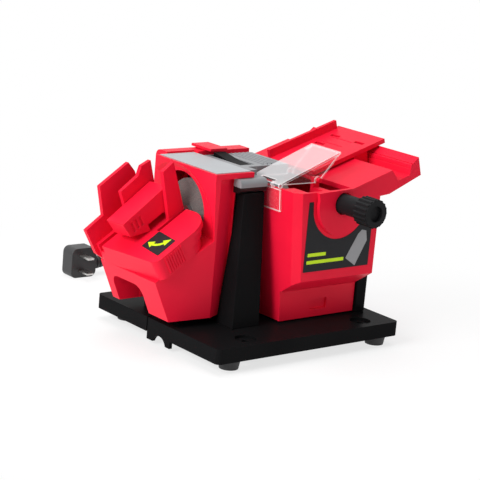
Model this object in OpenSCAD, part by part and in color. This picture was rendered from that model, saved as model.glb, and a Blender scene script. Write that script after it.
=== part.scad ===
// Bench sharpener with a knife head on the left and a chisel head on the right of one motor tower.
// X runs right, Y runs back, Z runs up. Working coordinates start at the base plate's front left
// corner on the table; stand() then moves the whole part so that its box is centred on the origin.

/* [Base] */
// Width of the base plate, left to right
base_w = 173; // [160:1:190]
// Depth of the base plate, front to back
base_d = 150; // [142:1:165]
// Thickness of the base plate
base_t = 11; // [9:0.5:15]
// Corner radius of the base plate
base_r = 3.5; // [3:0.5:6]
// Wall of the hollow base plate
base_wall = 3.5; // [2.5:0.25:4.5]
// Height of the rubber feet
foot_h = 8; // [6:0.5:12]
// Radius of a rubber foot
foot_r = 8; // [6:0.5:10]
// Distance from the base's front, back and right edges to a foot's axis
foot_inset = 12; // [11:0.5:14]
// Distance from the base's left edge to the axis of a left foot
foot_left = 20; // [17:0.5:20]
// Radius of a bench screw hole
bench_hole_r = 2.75; // [2:0.25:3.5]
// Distance from the base's left and right edges to the bench screw holes
bench_inset_x = 27; // [25:1:32]
// Distance from the base's front and back edges to the bench screw holes
bench_inset_y = 14; // [12:1:20]
// Radius of the round recess over a bench screw hole
bench_recess_r = 8; // [6:0.5:9]
// Depth of the round recess over a bench screw hole
bench_recess = 2; // [1:0.25:2.5]

/* [Release lever] */
// Width of the lever
lever_w = 28; // [24:1:36]
// Distance from the base's front edge to the middle of the lever
lever_y = 71; // [65:1:80]
// Thickness of the lever's leg
lever_t = 7; // [5:0.5:9]
// How far the lever's leg reaches below the base plate
lever_drop = 5.5; // [2:0.5:5.5]
// Width of the arch in the lever's leg
lever_arch_w = 16; // [12:1:18]
// Radius of the lever's pin
lever_pin_r = 1.5; // [1:0.1:2]

/* [Drive] */
// Distance from the base's front edge to the shaft
shaft_y = 86.3; // [84:0.1:89]
// Distance from the top of the tower's black part down to the shaft
shaft_drop = 22; // [20:0.5:24]
// Radius of the shaft
shaft_r = 3.5; // [3:0.25:4]
// Radius of the knife wheel
knife_wheel_r = 26; // [22:0.5:26.5]
// Thickness of the knife wheel
knife_wheel_t = 12; // [8:0.5:12.5]
// Radius of the chisel wheel
chisel_wheel_r = 28.5; // [24:0.5:29]
// Thickness of the chisel wheel
chisel_wheel_t = 20; // [14:0.5:21]
// Radius of the motor can
motor_r = 22; // [18:0.5:24]
// Radius of the rotor
rotor_r = 14; // [10:0.5:15]
// Outer radius of a shaft bearing
bearing_r = 8; // [7:0.25:9]

/* [Motor tower] */
// Distance from the base's left edge to the tower
tower_x = 50; // [48:0.5:54]
// Width of the tower, left to right
tower_w = 32; // [30:0.5:34]
// Depth of the tower, front to back
tower_d = 57; // [54:0.5:60]
// Height of the tower's black part
tower_h = 97; // [90:0.5:104]
// Wall of the tower
tower_wall = 3; // [2:0.25:3.5]
// Height of the silver cap's top above the black part
cap_h = 14; // [13:0.25:16]
// How far the cap stands out over the tower's front and back
cap_over = 3; // [1:0.25:4]
// Width of the switch rocker
switch_w = 11; // [8:0.5:12]
// Length of the switch rocker
switch_l = 34; // [28:0.5:34]
// Depth of the rear cover behind the tower
rear_d = 22; // [18:0.5:24]
// Depth of the column in front of the tower
column_d = 10.3; // [8:0.1:12]
// How far the column widens to the left at its foot
column_flare = 11; // [6:0.5:12]
// How far the column comes forward at its foot
column_lean = 13; // [8:0.5:15]
// How far the column draws in from the right at its foot
column_in = 5; // [2:0.5:7]
// Width of the rear cover's finger tab
tab_w = 16; // [12:0.5:18]
// Length of the rear cover's finger tab, front to back
tab_l = 24; // [18:0.5:26]
// Thickness of the rear cover's finger tab
tab_t = 2; // [1.5:0.25:3]

/* [Knife head] */
// Width of the head, front to back
head_w = 72.6; // [71:0.2:74]
// Height of the head's flat top above the tower's black part
head_rise = 14.5; // [13:0.25:16]
// Distance from the base's left edge to the head's upper left face
head_x = 25; // [23:0.5:26]
// Gap between the head's underside and the base plate
head_gap = 5.5; // [4:0.25:7]
// Wall of the head
head_wall = 3; // [2:0.25:3.5]
// Tilt of the deck under the lid
deck_tilt = 30; // [28:0.5:32]
// How far the lower front edge overhangs the base's left edge
nose_reach = 5; // [2:0.5:8]
// Width of the arch in the head's front
arch_w = 37; // [28:1:40]
// Height of the arch in the head's front
arch_h = 21; // [14:1:24]
// Radius of the round opening that shows the wheel
window_r = 27; // [24:0.25:28]
// How far the window's middle lies behind the shaft
window_back = 6; // [4:0.5:8]
// How far the window's middle lies above the shaft
window_up = 3.5; // [2:0.5:5]
// Radius of the wide dish round the window
dish_r = 45; // [43:0.5:45.5]
// Depth of the dish
dish_d = 1.7; // [1:0.1:1.8]
// Width of the dish's sloping rim
dish_rim = 3; // [2:0.5:5]
// How far the head's near side draws in towards the tower
draw_in = 7.5; // [5:0.5:8]

/* [Knife lid] */
// Thickness of the lid
lid_t = 16; // [13:0.5:17]
// Length of the lid below its pivot
lid_low = 26; // [23:0.5:28]
// Length of the lid above its pivot
lid_high = 32; // [29:0.5:32.5]
// Width of the lid
lid_w = 72; // [66:0.5:74]
// Distance from the head's flat top down to the lid's top at its pivot
lid_drop = 48.1; // [47:0.1:50]
// Swing of the lid at rest, with its far side down the slope
lid_rest = 4; // [0:0.5:5]
// Distance from the base's left edge back to the lid's pivot
lid_x = 3.3; // [2.5:0.1:4.5]
// Thickness of the guide fins
fin_t = 3.4; // [2.5:0.1:4]
// Width of the blade press bar
press_w = 19; // [16:0.5:19.5]
// Radius of the lid's pivot pin
lid_pin_r = 3; // [2:0.25:4]

/* [Chisel head] */
// Distance from the base's left edge to the head's lower left face
chisel_x = 82.4; // [82.3:0.1:84]
// Width of the head
chisel_w = 73; // [70:0.5:76]
// Lean of the left face, in millimetres of run for each of rise
chisel_lean = 0.088; // [0.06:0.004:0.1]
// Distance from the base's front edge to the head's front face
chisel_y = 16.5; // [14:0.5:18]
// Depth of the head, front to back
chisel_d = 114; // [111:0.5:118]
// Height of the head's top above the tower's black part
chisel_rise = 4.7; // [3:0.1:6]
// Height of the step under the front face
step_h = 35.5; // [30:0.5:40]
// How far the lower front is set back
step_in = 17; // [12:0.5:20]
// Rise of the slope under the front face
step_rise = 11.7; // [8:0.1:14]
// Wall of the head
chisel_wall = 3; // [2:0.25:3.5]
// Chamfer on the head's front left corner
chisel_chamfer = 5; // [2:0.5:7]

/* [Tilt frame] */
// Distance from the base's left edge to the frame's pivot
pivot_x = 116.5; // [115:0.5:118]
// Distance from the chisel head's top down to the frame's pivot
pivot_drop = 9.2; // [8:0.1:10]
// Tilt of the frame
frame_tilt = 17; // [15:0.5:19]
// Thickness of the frame's cheeks
cheek_t = 3; // [2.5:0.25:4]
// Radius of the frame's round cheek
cheek_r = 24; // [20:0.5:26]
// Radius of the hollow journals that carry the cheeks
journal_r = 10; // [8.5:0.25:10.2]
// Length of the frame from its pivot to its outer end
frame_l = 77.3; // [74:0.3:80]
// Height of the frame's plate above its pivot
frame_top = 8; // [7:0.25:9]
// Thickness of the frame's plate
frame_t = 4; // [3:0.25:5]

/* [Carriage] */
// Width of the carriage table, front to back
table_w = 53; // [46:1:56]
// Distance from the base's front edge to the table's front edge
table_y = 55; // [50:1:58]
// Length of the carriage table
table_l = 73.5; // [70:0.5:76]
// Thickness of the carriage table
table_t = 3.5; // [2.5:0.25:4.5]
// Height of the table's fence
fence_h = 6.5; // [4:0.25:8]
// Thickness of the table's fence
fence_t = 3; // [2:0.25:4]

/* [Guard] */
// Width of the clear guard
guard_w = 33; // [28:1:35]
// Length of the clear guard along its slope
guard_l = 59; // [52:1:60]
// Slope of the guard
guard_tilt = 20.5; // [19:0.25:22]
// Thickness of the clear plastic
guard_t = 1.8; // [1.4:0.1:2.4]
// Distance from the base's front edge to the guard
guard_y = 33; // [31:0.5:34]
// Height of the fixed clear leaf
leaf_h = 17; // [12:0.5:20]

/* [Knob] */
// Radius of the clamp knob
knob_r = 10.8; // [9:0.2:12]
// Length of the clamp knob
knob_l = 14; // [10:0.5:18]
// Number of flutes on the knob
knob_flutes = 18; // [12:1:24]
// Length of the knob's neck
neck_l = 20; // [14:0.5:24]
// Radius of the knob's neck
neck_r = 7.4; // [6.8:0.1:7.6]
// Radius of the clamp bolt
bolt_r = 3.5; // [2.5:0.25:4]

/* [Cord] */
// Diameter of the mains cord
cord_d = 5.8; // [5:0.1:6]
// Outer radius of the coil at the middle of its cord
coil_r = 41; // [40:0.5:42]
// Turns in the coil's lower layer
coil_turns = 2.5; // [2.5:1:2.5]
// Gap between neighbouring turns
coil_gap = 0.6; // [0.5:0.05:0.8]

/* [Hidden] */
$fn = 64;
// Running clearance of a shaft or pin in its bore
run = 0.05;
// Gap between pieces that move past each other
gap = 0.35;
// Overcut of a hole through a face
eps = 0.5;

zt = foot_h + base_t;
shaft_h = tower_h - shaft_drop;
head_h = tower_h + head_rise;
lid_h = head_h - lid_drop;
chisel_h = tower_h + chisel_rise;
pivot_h = chisel_h - pivot_drop;
shaft_z = zt + shaft_h;
tower_r = tower_x + tower_w;
tower_f = shaft_y - tower_d / 2;
tower_b = shaft_y + tower_d / 2;
bearing_l = tower_wall + 4;

// Knife head
head_f = shaft_y - head_w / 2;
head_b = shaft_y + head_w / 2;
head_z = zt + head_gap;
head_top = zt + head_h;
lip_x = tower_x + 10;
lip_t = 3.8;
lid_o = [-lid_x, shaft_y, zt + lid_h];
deck_drop = lid_t + gap;
wheel_face = head_x + 6.5;
dish_c = [shaft_y + 10.2, shaft_z - 9.6];
arch_y = shaft_y + 9.2;
arch_r = 8;
draw_x = head_x + 5;
function on_lid(u, w) = [lid_o[0] + u * cos(deck_tilt) - w * sin(deck_tilt),
                         lid_o[2] + u * sin(deck_tilt) + w * cos(deck_tilt)];

// Chisel head
chisel_r = chisel_x + chisel_w;
chisel_b = chisel_y + chisel_d;
chisel_z = zt + 1.3;
chisel_top = zt + chisel_h;
chisel_low_top = zt + pivot_h + 3.5;
pivot = [pivot_x, 0, zt + pivot_h];
chisel_face = tower_r + 5;
function lean_x(z) = chisel_x - chisel_lean * (z - chisel_z);

// Tilt frame, in its own plane: p runs up the slope, q stands square to it
plate_p = 10.6;
rail_p = 44;
rail_drop = 6;
groove_p = 50;
groove_floor = -2;
table_p = 8.7;
table_q = frame_top + 1.5;
cheek_f = chisel_y - gap - cheek_t;
cheek_b = chisel_b + gap;
frame_d = cheek_b + cheek_t - cheek_f;

relief_l = 20;
relief_neck_r = 4.2;
// Box of the part in working coordinates, which centres it on the origin
wing_low = [-28.6, 14];
reach_l = lid_x + wing_low[1] * sin(deck_tilt)
          + (lid_w / 2 * sin(lid_rest) - wing_low[0] * cos(lid_rest)) * cos(deck_tilt);
reach_r = pivot_x + max(frame_l * cos(frame_tilt) + rail_drop * sin(frame_tilt),
                        (table_p + table_l) * cos(frame_tilt) - table_q * sin(frame_tilt));
reach_f = chisel_y - gap - cheek_t - neck_l - knob_l;
org = [(reach_r - reach_l) / 2, (base_d + relief_l + reach_f) / 2, 0];

// Guard
hinge = [lean_x(chisel_top) - 1.4, 0, chisel_top + 2.2];
knuckle_r = 2.2;
hinge_pin_r = 1;
catch_u = 35;
catch_r = 1.8;

// Cord, with points of its free stretches from the rear relief to the coil and on to the plug
cord_r = cord_d / 2;
tie_t = 0.6;
coil_c = [125, 221];
coil_pitch = cord_d + coil_gap;
coil_z = cord_r + tie_t + 0.1;
coil_in = coil_r - coil_pitch * coil_turns;
coil_out_turns = coil_turns - 0.25;
coil_end = [coil_c[0], coil_c[1] + coil_in + coil_pitch * coil_out_turns, coil_z + coil_pitch];
relief_o = [coil_c[0] + coil_r, base_d, foot_h + base_t / 2];
plug = [24, 14, 25];
plug_y = 254;
plug_o = [40, plug_y - plug[1] / 2, 0];
plug_z = coil_end[2];
plug_relief_l = 18;
plug_end = [plug_o[0] + plug[0] + plug_relief_l, plug_y, plug_z];
lead_o = relief_o + [0, relief_l, 0];
lead_route = [lead_o, lead_o + [0, 8, -0.8], lead_o + [0, 18, -4.8],
              [lead_o[0], lead_o[1] + 28, coil_z + 1.6], [lead_o[0], lead_o[1] + 36, coil_z],
              [lead_o[0], lead_o[1] + 41, coil_z]];
tail_route = [coil_end + [-8.5, 0, 0], coil_end + [-11.5, 0, 0], [106, 258.8, plug_z], [98, 255.6, plug_z],
              plug_end + [8, 0, 0], plug_end + [4, 0, 0], plug_end];
rings_per_loop = 24;
coil_sides = 6;
lead_sides = 8;

// Moves working coordinates so that the part's box is centred on the origin
module stand() {
    translate(-org) children();
}

// Plate with round upright corners
module round_plate(w, d, h, r) {
    translate([r, 0, 0]) cube([w - 2 * r, d, h]);
    translate([0, r, 0]) cube([w, d - 2 * r, h]);
    for (x = [r, w - r], y = [r, d - r]) translate([x, y, 0]) cylinder(r = r, h = h);
}

// Outline in X and Z, drawn out along Y
module drawn_y(y0, y1, points) {
    translate([0, y1, 0]) rotate([90, 0, 0]) linear_extrude(y1 - y0) polygon(points);
}

// Outline in Y and Z, drawn out along X
module drawn_x(x0, x1, points) {
    translate([x0, 0, 0]) rotate([90, 0, 90]) linear_extrude(x1 - x0) polygon(points);
}

// Rod along X between two stations on the shaft's line
module shaft_rod(x0, x1, r) {
    translate([x0, shaft_y, shaft_z]) rotate([0, 90, 0]) cylinder(r = r, h = x1 - x0);
}

// Rod along Y from a front station to a back one
module y_rod(x, z, y0, y1, r) {
    translate([x, y1, z]) rotate([90, 0, 0]) cylinder(r = r, h = y1 - y0);
}

// Block that rounds an edge along X when it is cut away; sy and sz point out of the solid
module x_round(x0, x1, y, z, r, sy, sz) {
    difference() {
        translate([x0, min(y, y + sy * (r + eps)), min(z, z + sz * (r + eps))])
            cube([x1 - x0, r + eps, r + eps]);
        translate([x0 - eps, y, z]) rotate([0, 90, 0]) cylinder(r = r, h = x1 - x0 + 2 * eps);
    }
}

// Places on the base
foot_spots = [for (x = [foot_left, base_w - foot_inset], y = [foot_inset, base_d - foot_inset]) [x, y]];
bench_spots = [for (x = [bench_inset_x + foot_r, base_w - bench_inset_x],
                    y = [bench_inset_y, base_d - bench_inset_y])
               [x, y]];
lever_f = lever_y - lever_w / 2;
lever_pin_at = [lever_t / 2 + 0.5, foot_h + base_t / 2];
lever_pin_seat = 5;
screw_r = 1.6;
boss_r = 5;

module base_plate() {
    notch = [lever_t + 3, lever_w + 2 * gap, base_t + 2 * eps];
    stand() color("#161618") difference() {
        union() {
            translate([0, 0, foot_h]) round_plate(base_w, base_d, base_t, base_r);
            translate([lever_t + 8, shaft_y - 24, zt]) cube([tower_x - lever_t - 8, 48, head_gap]);
            translate([chisel_x + 8, chisel_y + step_in + 10, zt]) cube([chisel_w - 16, 60, chisel_z - zt]);
        }
        difference() {
            translate([base_wall, base_wall, foot_h - eps])
                round_plate(base_w - 2 * base_wall, base_d - 2 * base_wall,
                            base_t - base_wall + eps, base_r - base_wall / 2);
            for (p = foot_spots) translate([p[0], p[1], 0]) cylinder(r = foot_r + 2, h = zt);
            for (p = bench_spots) translate([p[0], p[1], 0]) cylinder(r = boss_r, h = zt);
            translate([0, lever_f - lever_pin_seat - 3, 0])
                cube([notch[0] + base_wall, lever_w + 2 * lever_pin_seat + 6, zt]);
        }
        translate([-eps, lever_f - gap, foot_h - eps]) cube([notch[0] + eps, notch[1], notch[2]]);
        for (p = bench_spots) translate([p[0], p[1], foot_h - eps]) {
            cylinder(r = bench_hole_r, h = base_t + 2 * eps);
            translate([0, 0, base_t - bench_recess + eps])
                cylinder(r = bench_recess_r, h = bench_recess + eps);
        }
        for (p = foot_spots) translate([p[0], p[1], foot_h - eps]) cylinder(r = screw_r, h = base_t - 3);
        y_rod(lever_pin_at[0], lever_pin_at[1], lever_f - lever_pin_seat - gap,
              lever_f + lever_w + lever_pin_seat + gap, lever_pin_r);
        y_rod(relief_o[0], relief_o[2], base_d - base_wall - eps, base_d + eps, relief_neck_r);
    }
}

cover_t = 1.6;
module base_cover() {
    edge = base_wall + 0.3;
    keep = [lever_t + 3 + base_wall, lever_w + 2 * lever_pin_seat + 6];
    stand() color("#202022") difference() {
        translate([edge, edge, foot_h + 0.2])
            round_plate(base_w - 2 * edge, base_d - 2 * edge, cover_t, base_r - base_wall / 2);
        for (p = foot_spots) translate([p[0], p[1], 0]) cylinder(r = foot_r + 2.3, h = zt);
        for (p = bench_spots) translate([p[0], p[1], 0]) cylinder(r = boss_r + 0.3, h = zt);
        translate([0, lever_y - keep[1] / 2 - 0.3, 0]) cube([keep[0] + 0.3, keep[1] + 0.6, zt]);
        // No slivers in the corners past the feet
        for (y = [0, base_d - foot_inset]) {
            translate([0, y, 0]) cube([foot_left, foot_inset, zt]);
            translate([base_w - foot_inset, y, 0]) cube([foot_inset, foot_inset, zt]);
        }
    }
}

screw_head_r = 3.2;
screw_head_h = 2;
module base_feet() {
    stand() color("#1b1b1b") for (p = foot_spots) translate([p[0], p[1], 0]) difference() {
        union() {
            cylinder(r1 = foot_r - 1, r2 = foot_r, h = foot_h - 2);
            translate([0, 0, foot_h - 2]) cylinder(r = foot_r, h = 2);
        }
        translate([0, 0, -eps]) cylinder(r = screw_head_r + 0.6, h = foot_h / 2 + eps);
        cylinder(r = screw_r + run, h = foot_h + eps);
    }
}

module foot_screws() {
    stand() color("silver") for (p = foot_spots) translate([p[0], p[1], foot_h / 2]) {
        translate([0, 0, -screw_head_h]) cylinder(r = screw_head_r, h = screw_head_h);
        cylinder(r = screw_r - run, h = foot_h / 2 + base_t - 4);
    }
}

module release_lever() {
    low = foot_h - lever_drop;
    stand() color("#18181a") difference() {
        translate([0.5, lever_f, low]) cube([lever_t, lever_w, base_t + lever_drop - 0.4]);
        // Arch in the leg, its centre a little under the toes
        translate([-eps, lever_y - 1, low - 2.2]) rotate([0, 90, 0])
            cylinder(r = lever_arch_w / 2, h = lever_t + 2);
        // Leg below the base, a thin plate at the front
        translate([3.2, lever_f - eps, low - eps]) cube([lever_t, lever_w + 2 * eps, lever_drop + 1]);
        y_rod(lever_pin_at[0], lever_pin_at[1], lever_f - eps, lever_f + lever_w + eps, lever_pin_r + run);
    }
}

module lever_pin() {
    stand() color("silver") y_rod(lever_pin_at[0], lever_pin_at[1], lever_f - lever_pin_seat,
                                  lever_f + lever_w + lever_pin_seat, lever_pin_r - 0.01);
}

// Column under the cap's nose, wider to the front and the left at its foot, clear of the knife head's side
module column() {
    f = tower_f - column_d;
    top = zt + tower_h;
    left = tower_x - column_flare;
    right = cap_side - 0.3;
    slant = head_f + (left - draw_x) * draw_in / (tower_x - rib_t - draw_x) - 2 * gap;
    rib_y = head_f + draw_in - rib_t - gap;
    intersection() {
        drawn_y(f - column_lean - 1, tower_f + 1,
                [[left, zt], [right - column_in, zt], [right, top], [tower_x, top]]);
        drawn_x(left - 1, right + 1,
                [[f - column_lean, zt], [tower_f + 1, zt], [tower_f + 1, top], [f, top]]);
        translate([0, 0, zt - 1]) linear_extrude(tower_h + 2)
            polygon([[left - 1, f - column_lean - 2], [right + 2, f - column_lean - 2],
                     [right + 2, tower_f + 2], [tower_x, tower_f + 2], [tower_x, rib_y], [left + 3, rib_y],
                     [left - 1, slant]]);
    }
}

module motor_tower() {
    cavity = [tower_w - 2 * tower_wall, tower_d - 2 * tower_wall, tower_h];
    stand() color("#131315") difference() {
        union() {
            translate([tower_x, tower_f, zt]) cube([tower_w, tower_d, tower_h]);
            column();
        }
        translate([tower_x + tower_wall, tower_f + tower_wall, zt + tower_wall]) cube(cavity);
        shaft_rod(tower_x - eps, tower_r + eps, bearing_r);
        translate([tower_x + tower_w / 2, tower_b + eps, zt + 20]) rotate([90, 0, 0])
            cylinder(r = 6, h = tower_wall + 2 * eps);
    }
}

// The cap bridges from the knife head's lip to the top of the chisel head
cap_z = zt + tower_h;
cap_low = head_h - lip_t - tower_h - 0.3;
cap_r = tower_r + 26;
cap_side = hinge[0] - knuckle_r - 0.6;
cap_nose = [tower_x - 5, tower_f - column_d - 2];
switch_c = [tower_x + 23.5, shaft_y + 7];
module top_cap() {
    f = tower_f - cap_over;
    b = tower_b + cap_over;
    stand() color("#9a9ca0") difference() {
        union() {
            drawn_y(f, b, [[tower_x, cap_z], [tower_x, cap_z + cap_low], [lip_x + 0.4, cap_z + cap_low],
                           [lip_x + 0.4, cap_z + cap_h], [cap_side, cap_z + cap_h],
                           [cap_side, cap_z]]);
            // Nose over the column, under the knife head's lip
            translate([cap_nose[0], cap_nose[1], cap_z])
                cube([tower_x - cap_nose[0] + eps, head_f + draw_in - rib_t - 0.3 - cap_nose[1], cap_low]);
            translate([tower_x, cap_nose[1], cap_z])
                cube([cap_side - tower_x, f - cap_nose[1] + eps, cap_low]);
            translate([cap_side - 1, guard_y + guard_w + 3, cap_z])
                cube([tower_r - cap_side + 1, b - guard_y - guard_w - 3, cap_h]);
            translate([cap_side - 1, guard_y + guard_w + 3, chisel_top + 0.5])
                cube([cap_r - cap_side + 1, b - guard_y - guard_w - 3, cap_z + cap_h - chisel_top - 0.5]);
        }
        // Room for the chisel wheel under the cap's right part
        shaft_rod(chisel_face - 2, cap_r + eps, chisel_wheel_r + 1.5);
        x_round(cap_nose[0] - eps, cap_r + eps, cap_nose[1] + 4, cap_z + cap_low - 4, 4, -1, 1);
        x_round(cap_nose[0] - eps, cap_r + eps, cap_nose[1] + 5, cap_z + 5, 5, -1, -1);
        translate([lip_x + 0.3, f - eps, cap_z + cap_low]) cube([cap_r - lip_x, 4 + eps, cap_h]);
        x_round(lip_x + 0.3, cap_r + eps, b - 5, cap_z + cap_h - 5, 5, 1, 1);
        translate([switch_c[0] - switch_w / 2 - 1.4, switch_c[1] - switch_l / 2 - 1.4, cap_z - eps])
            cube([switch_w + 2.8, switch_l + 2.8, cap_h + 2 * eps]);
    }
}

rocker_z = cap_z + cap_h - 5;
rocker_pin_r = 1.2;
rocker_rest = 6;
module switch_body() {
    body = [switch_w + 2.6, switch_l + 2.6, cap_h - 1.6];
    stand() color("#222222") difference() {
        translate([switch_c[0] - body[0] / 2, switch_c[1] - body[1] / 2, cap_z + 0.6]) cube(body);
        translate([switch_c[0] - switch_w / 2 - 0.3, switch_c[1] - switch_l / 2 - 0.3, cap_z + 2.4])
            cube([switch_w + 0.6, switch_l + 0.6, cap_h + 4]);
        translate([switch_c[0] - body[0], switch_c[1], rocker_z]) rotate([0, 90, 0])
            cylinder(r = rocker_pin_r + run, h = 2 * body[0]);
    }
}

module power_rocker() {
    l = switch_l / 2 - 0.6;
    w = switch_w - 0.4;
    stand() color("#0e0e0e") translate([switch_c[0], switch_c[1], rocker_z]) rotate([rocker_rest, 0, 0]) {
        translate([w / 2, 0, 0]) rotate([0, -90, 0]) linear_extrude(w)
            polygon([[-4, -l * 0.6], [2.6, -l], [6.2, -l], [5, 0], [6.2, l], [2.6, l], [-4, l * 0.6]]);
        translate([-switch_w / 2 - 1.2, 0, 0]) rotate([0, 90, 0])
            cylinder(r = rocker_pin_r, h = switch_w + 2.4);
    }
}

// The cover's top reaches over the back of both heads and carries the finger tab
rear_top = cap_z + cap_h + 2;
rear_l = head_x + 10;
rear_r = tower_r + 28;
rear_ear = 50;
module rear_cover() {
    w = 2.5;
    b = tower_b + rear_d;
    f = tower_b + cap_over + 0.3;
    behind = head_b + 0.5;
    tab_at = [tower_r - tab_w, b - 2.5 - tab_l, rear_top + 1];
    stand() color("#d8142c") difference() {
        union() {
            translate([tower_x, tower_b + 0.1, zt]) cube([tower_w, rear_d - 0.1, tower_h]);
            translate([rear_l, behind, zt + rear_ear])
                cube([tower_x - rear_l + w, b - behind, rear_top - zt - rear_ear]);
            translate([tower_x, behind, cap_z]) cube([tower_w, b - behind, rear_top - cap_z]);
            translate([lip_x + 0.6, f, cap_z]) cube([tower_r - lip_x - 0.6, b - f, rear_top - cap_z]);
            translate([tower_r - w, f, chisel_top + 0.8])
                cube([rear_r - tower_r + w, cheek_b - gap - f, rear_top - chisel_top - 0.8]);
            translate(tab_at) cube([tab_w, tab_l, tab_t]);
            translate([tab_at[0] + 2, f + 1, rear_top - 1]) cube([tab_w - 4, b - 5 - f, 2.5]);
        }
        translate([tower_x + w, tower_b, zt + w]) cube([tower_w - 2 * w, rear_d - w, tower_h - w]);
        x_round(rear_l - eps, tower_r + eps, b - 5, rear_top - 5, 5, 1, 1);
        for (z = rear_screw_z) y_rod(tower_x + tower_w / 2, z, b - w - eps, b + eps, screw_r);
    }
}

rear_screw_z = [zt + 14, zt + tower_h - 14];
module rear_screws() {
    b = tower_b + rear_d;
    stand() color("silver") for (z = rear_screw_z) {
        y_rod(tower_x + tower_w / 2, z, b - 8, b, screw_r - run);
        y_rod(tower_x + tower_w / 2, z, b, b + 1.6, screw_head_r);
    }
}

board = [tower_w - 12, 1.6, tower_h / 2];
relay = [9, 6, 12];
module wiring_board() {
    stand() color("#1d6b3a") {
        translate([tower_x + 6, tower_b + 4, zt + 2.5]) cube(board);
        translate([tower_x + 10, tower_b + 4 + board[1], zt + board[2] - 2 * relay[0]]) cube(relay);
    }
}

module motor_can() {
    x0 = tower_x + tower_wall;
    x1 = tower_r - tower_wall;
    stand() color("#8b8d90") difference() {
        union() {
            shaft_rod(x0, x1, motor_r);
            translate([x0, shaft_y - 12, zt + tower_wall])
                cube([x1 - x0, 24, shaft_h - tower_wall - motor_r + 4]);
        }
        shaft_rod(x0 + 4, x1 - 4, rotor_r + 1);
        shaft_rod(x0 - eps, x1 + eps, bearing_r + 0.5);
    }
}

module shaft_bearings() {
    stand() color("#b58a3c") for (x = [tower_x, tower_r - bearing_l]) difference() {
        shaft_rod(x, x + bearing_l, bearing_r - 0.02);
        shaft_rod(x - eps, x + bearing_l + eps, shaft_r + run);
    }
}

flange_t = 4;
flange_r = 11;
nut_t = 5;
knife_nut_t = 3;
nut_r = 6.2;
shaft_l = wheel_face - knife_nut_t - 0.5;
chisel_wheel_end = chisel_face + chisel_wheel_t;
module motor_shaft() {
    stand() color("#c4c6c8") shaft_rod(shaft_l, chisel_wheel_end + nut_t + 3, shaft_r);
}

// Ring on the shaft, with a bore that takes it
module shaft_ring(x0, x1, r) {
    difference() {
        shaft_rod(x0, x1, r);
        shaft_rod(x0 - eps, x1 + eps, shaft_r);
    }
}

module motor_rotor() {
    stand() color("#a8683a") shaft_ring(tower_x + bearing_l + 1, tower_r - bearing_l - 1, rotor_r);
}

module knife_wheel() {
    stand() color("#8f8f8c") shaft_ring(wheel_face, wheel_face + knife_wheel_t, knife_wheel_r);
}

module chisel_wheel() {
    stand() color("#9b9b98") shaft_ring(chisel_face, chisel_wheel_end, chisel_wheel_r);
}

module wheel_flanges() {
    stand() color("silver") {
        shaft_ring(wheel_face + knife_wheel_t, wheel_face + knife_wheel_t + flange_t, flange_r);
        shaft_ring(chisel_face - flange_t, chisel_face, flange_r);
    }
}

module wheel_nuts() {
    nuts = [[wheel_face - knife_nut_t, knife_nut_t], [chisel_wheel_end, nut_t]];
    stand() color("silver") for (n = nuts) difference() {
        translate([n[0], shaft_y, shaft_z]) rotate([0, 90, 0]) cylinder(r = nut_r, h = n[1], $fn = 6);
        shaft_rod(n[0] - eps, n[0] + n[1] + eps, shaft_r);
    }
}

// Outline of the room for the wheel, with its near wall drawn in like the outside
module wheel_room(x0) {
    near = head_f + head_wall;
    polygon([[x0, near], [draw_x + 1, near], [tower_x + eps, near + draw_in],
             [tower_x + eps, head_b - head_wall],
             [x0, head_b - head_wall]]);
}

// Opening with a flat foot and two round upper corners, in Y and Z from its foot's middle
module arch_outline(w, h, r) {
    translate([-w / 2, -eps]) square([w, h - r + eps]);
    translate([-w / 2 + r, 0]) square([w - 2 * r, h]);
    for (side = [-1, 1]) translate([side * (w / 2 - r), h - r]) circle(r = r);
}

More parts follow.
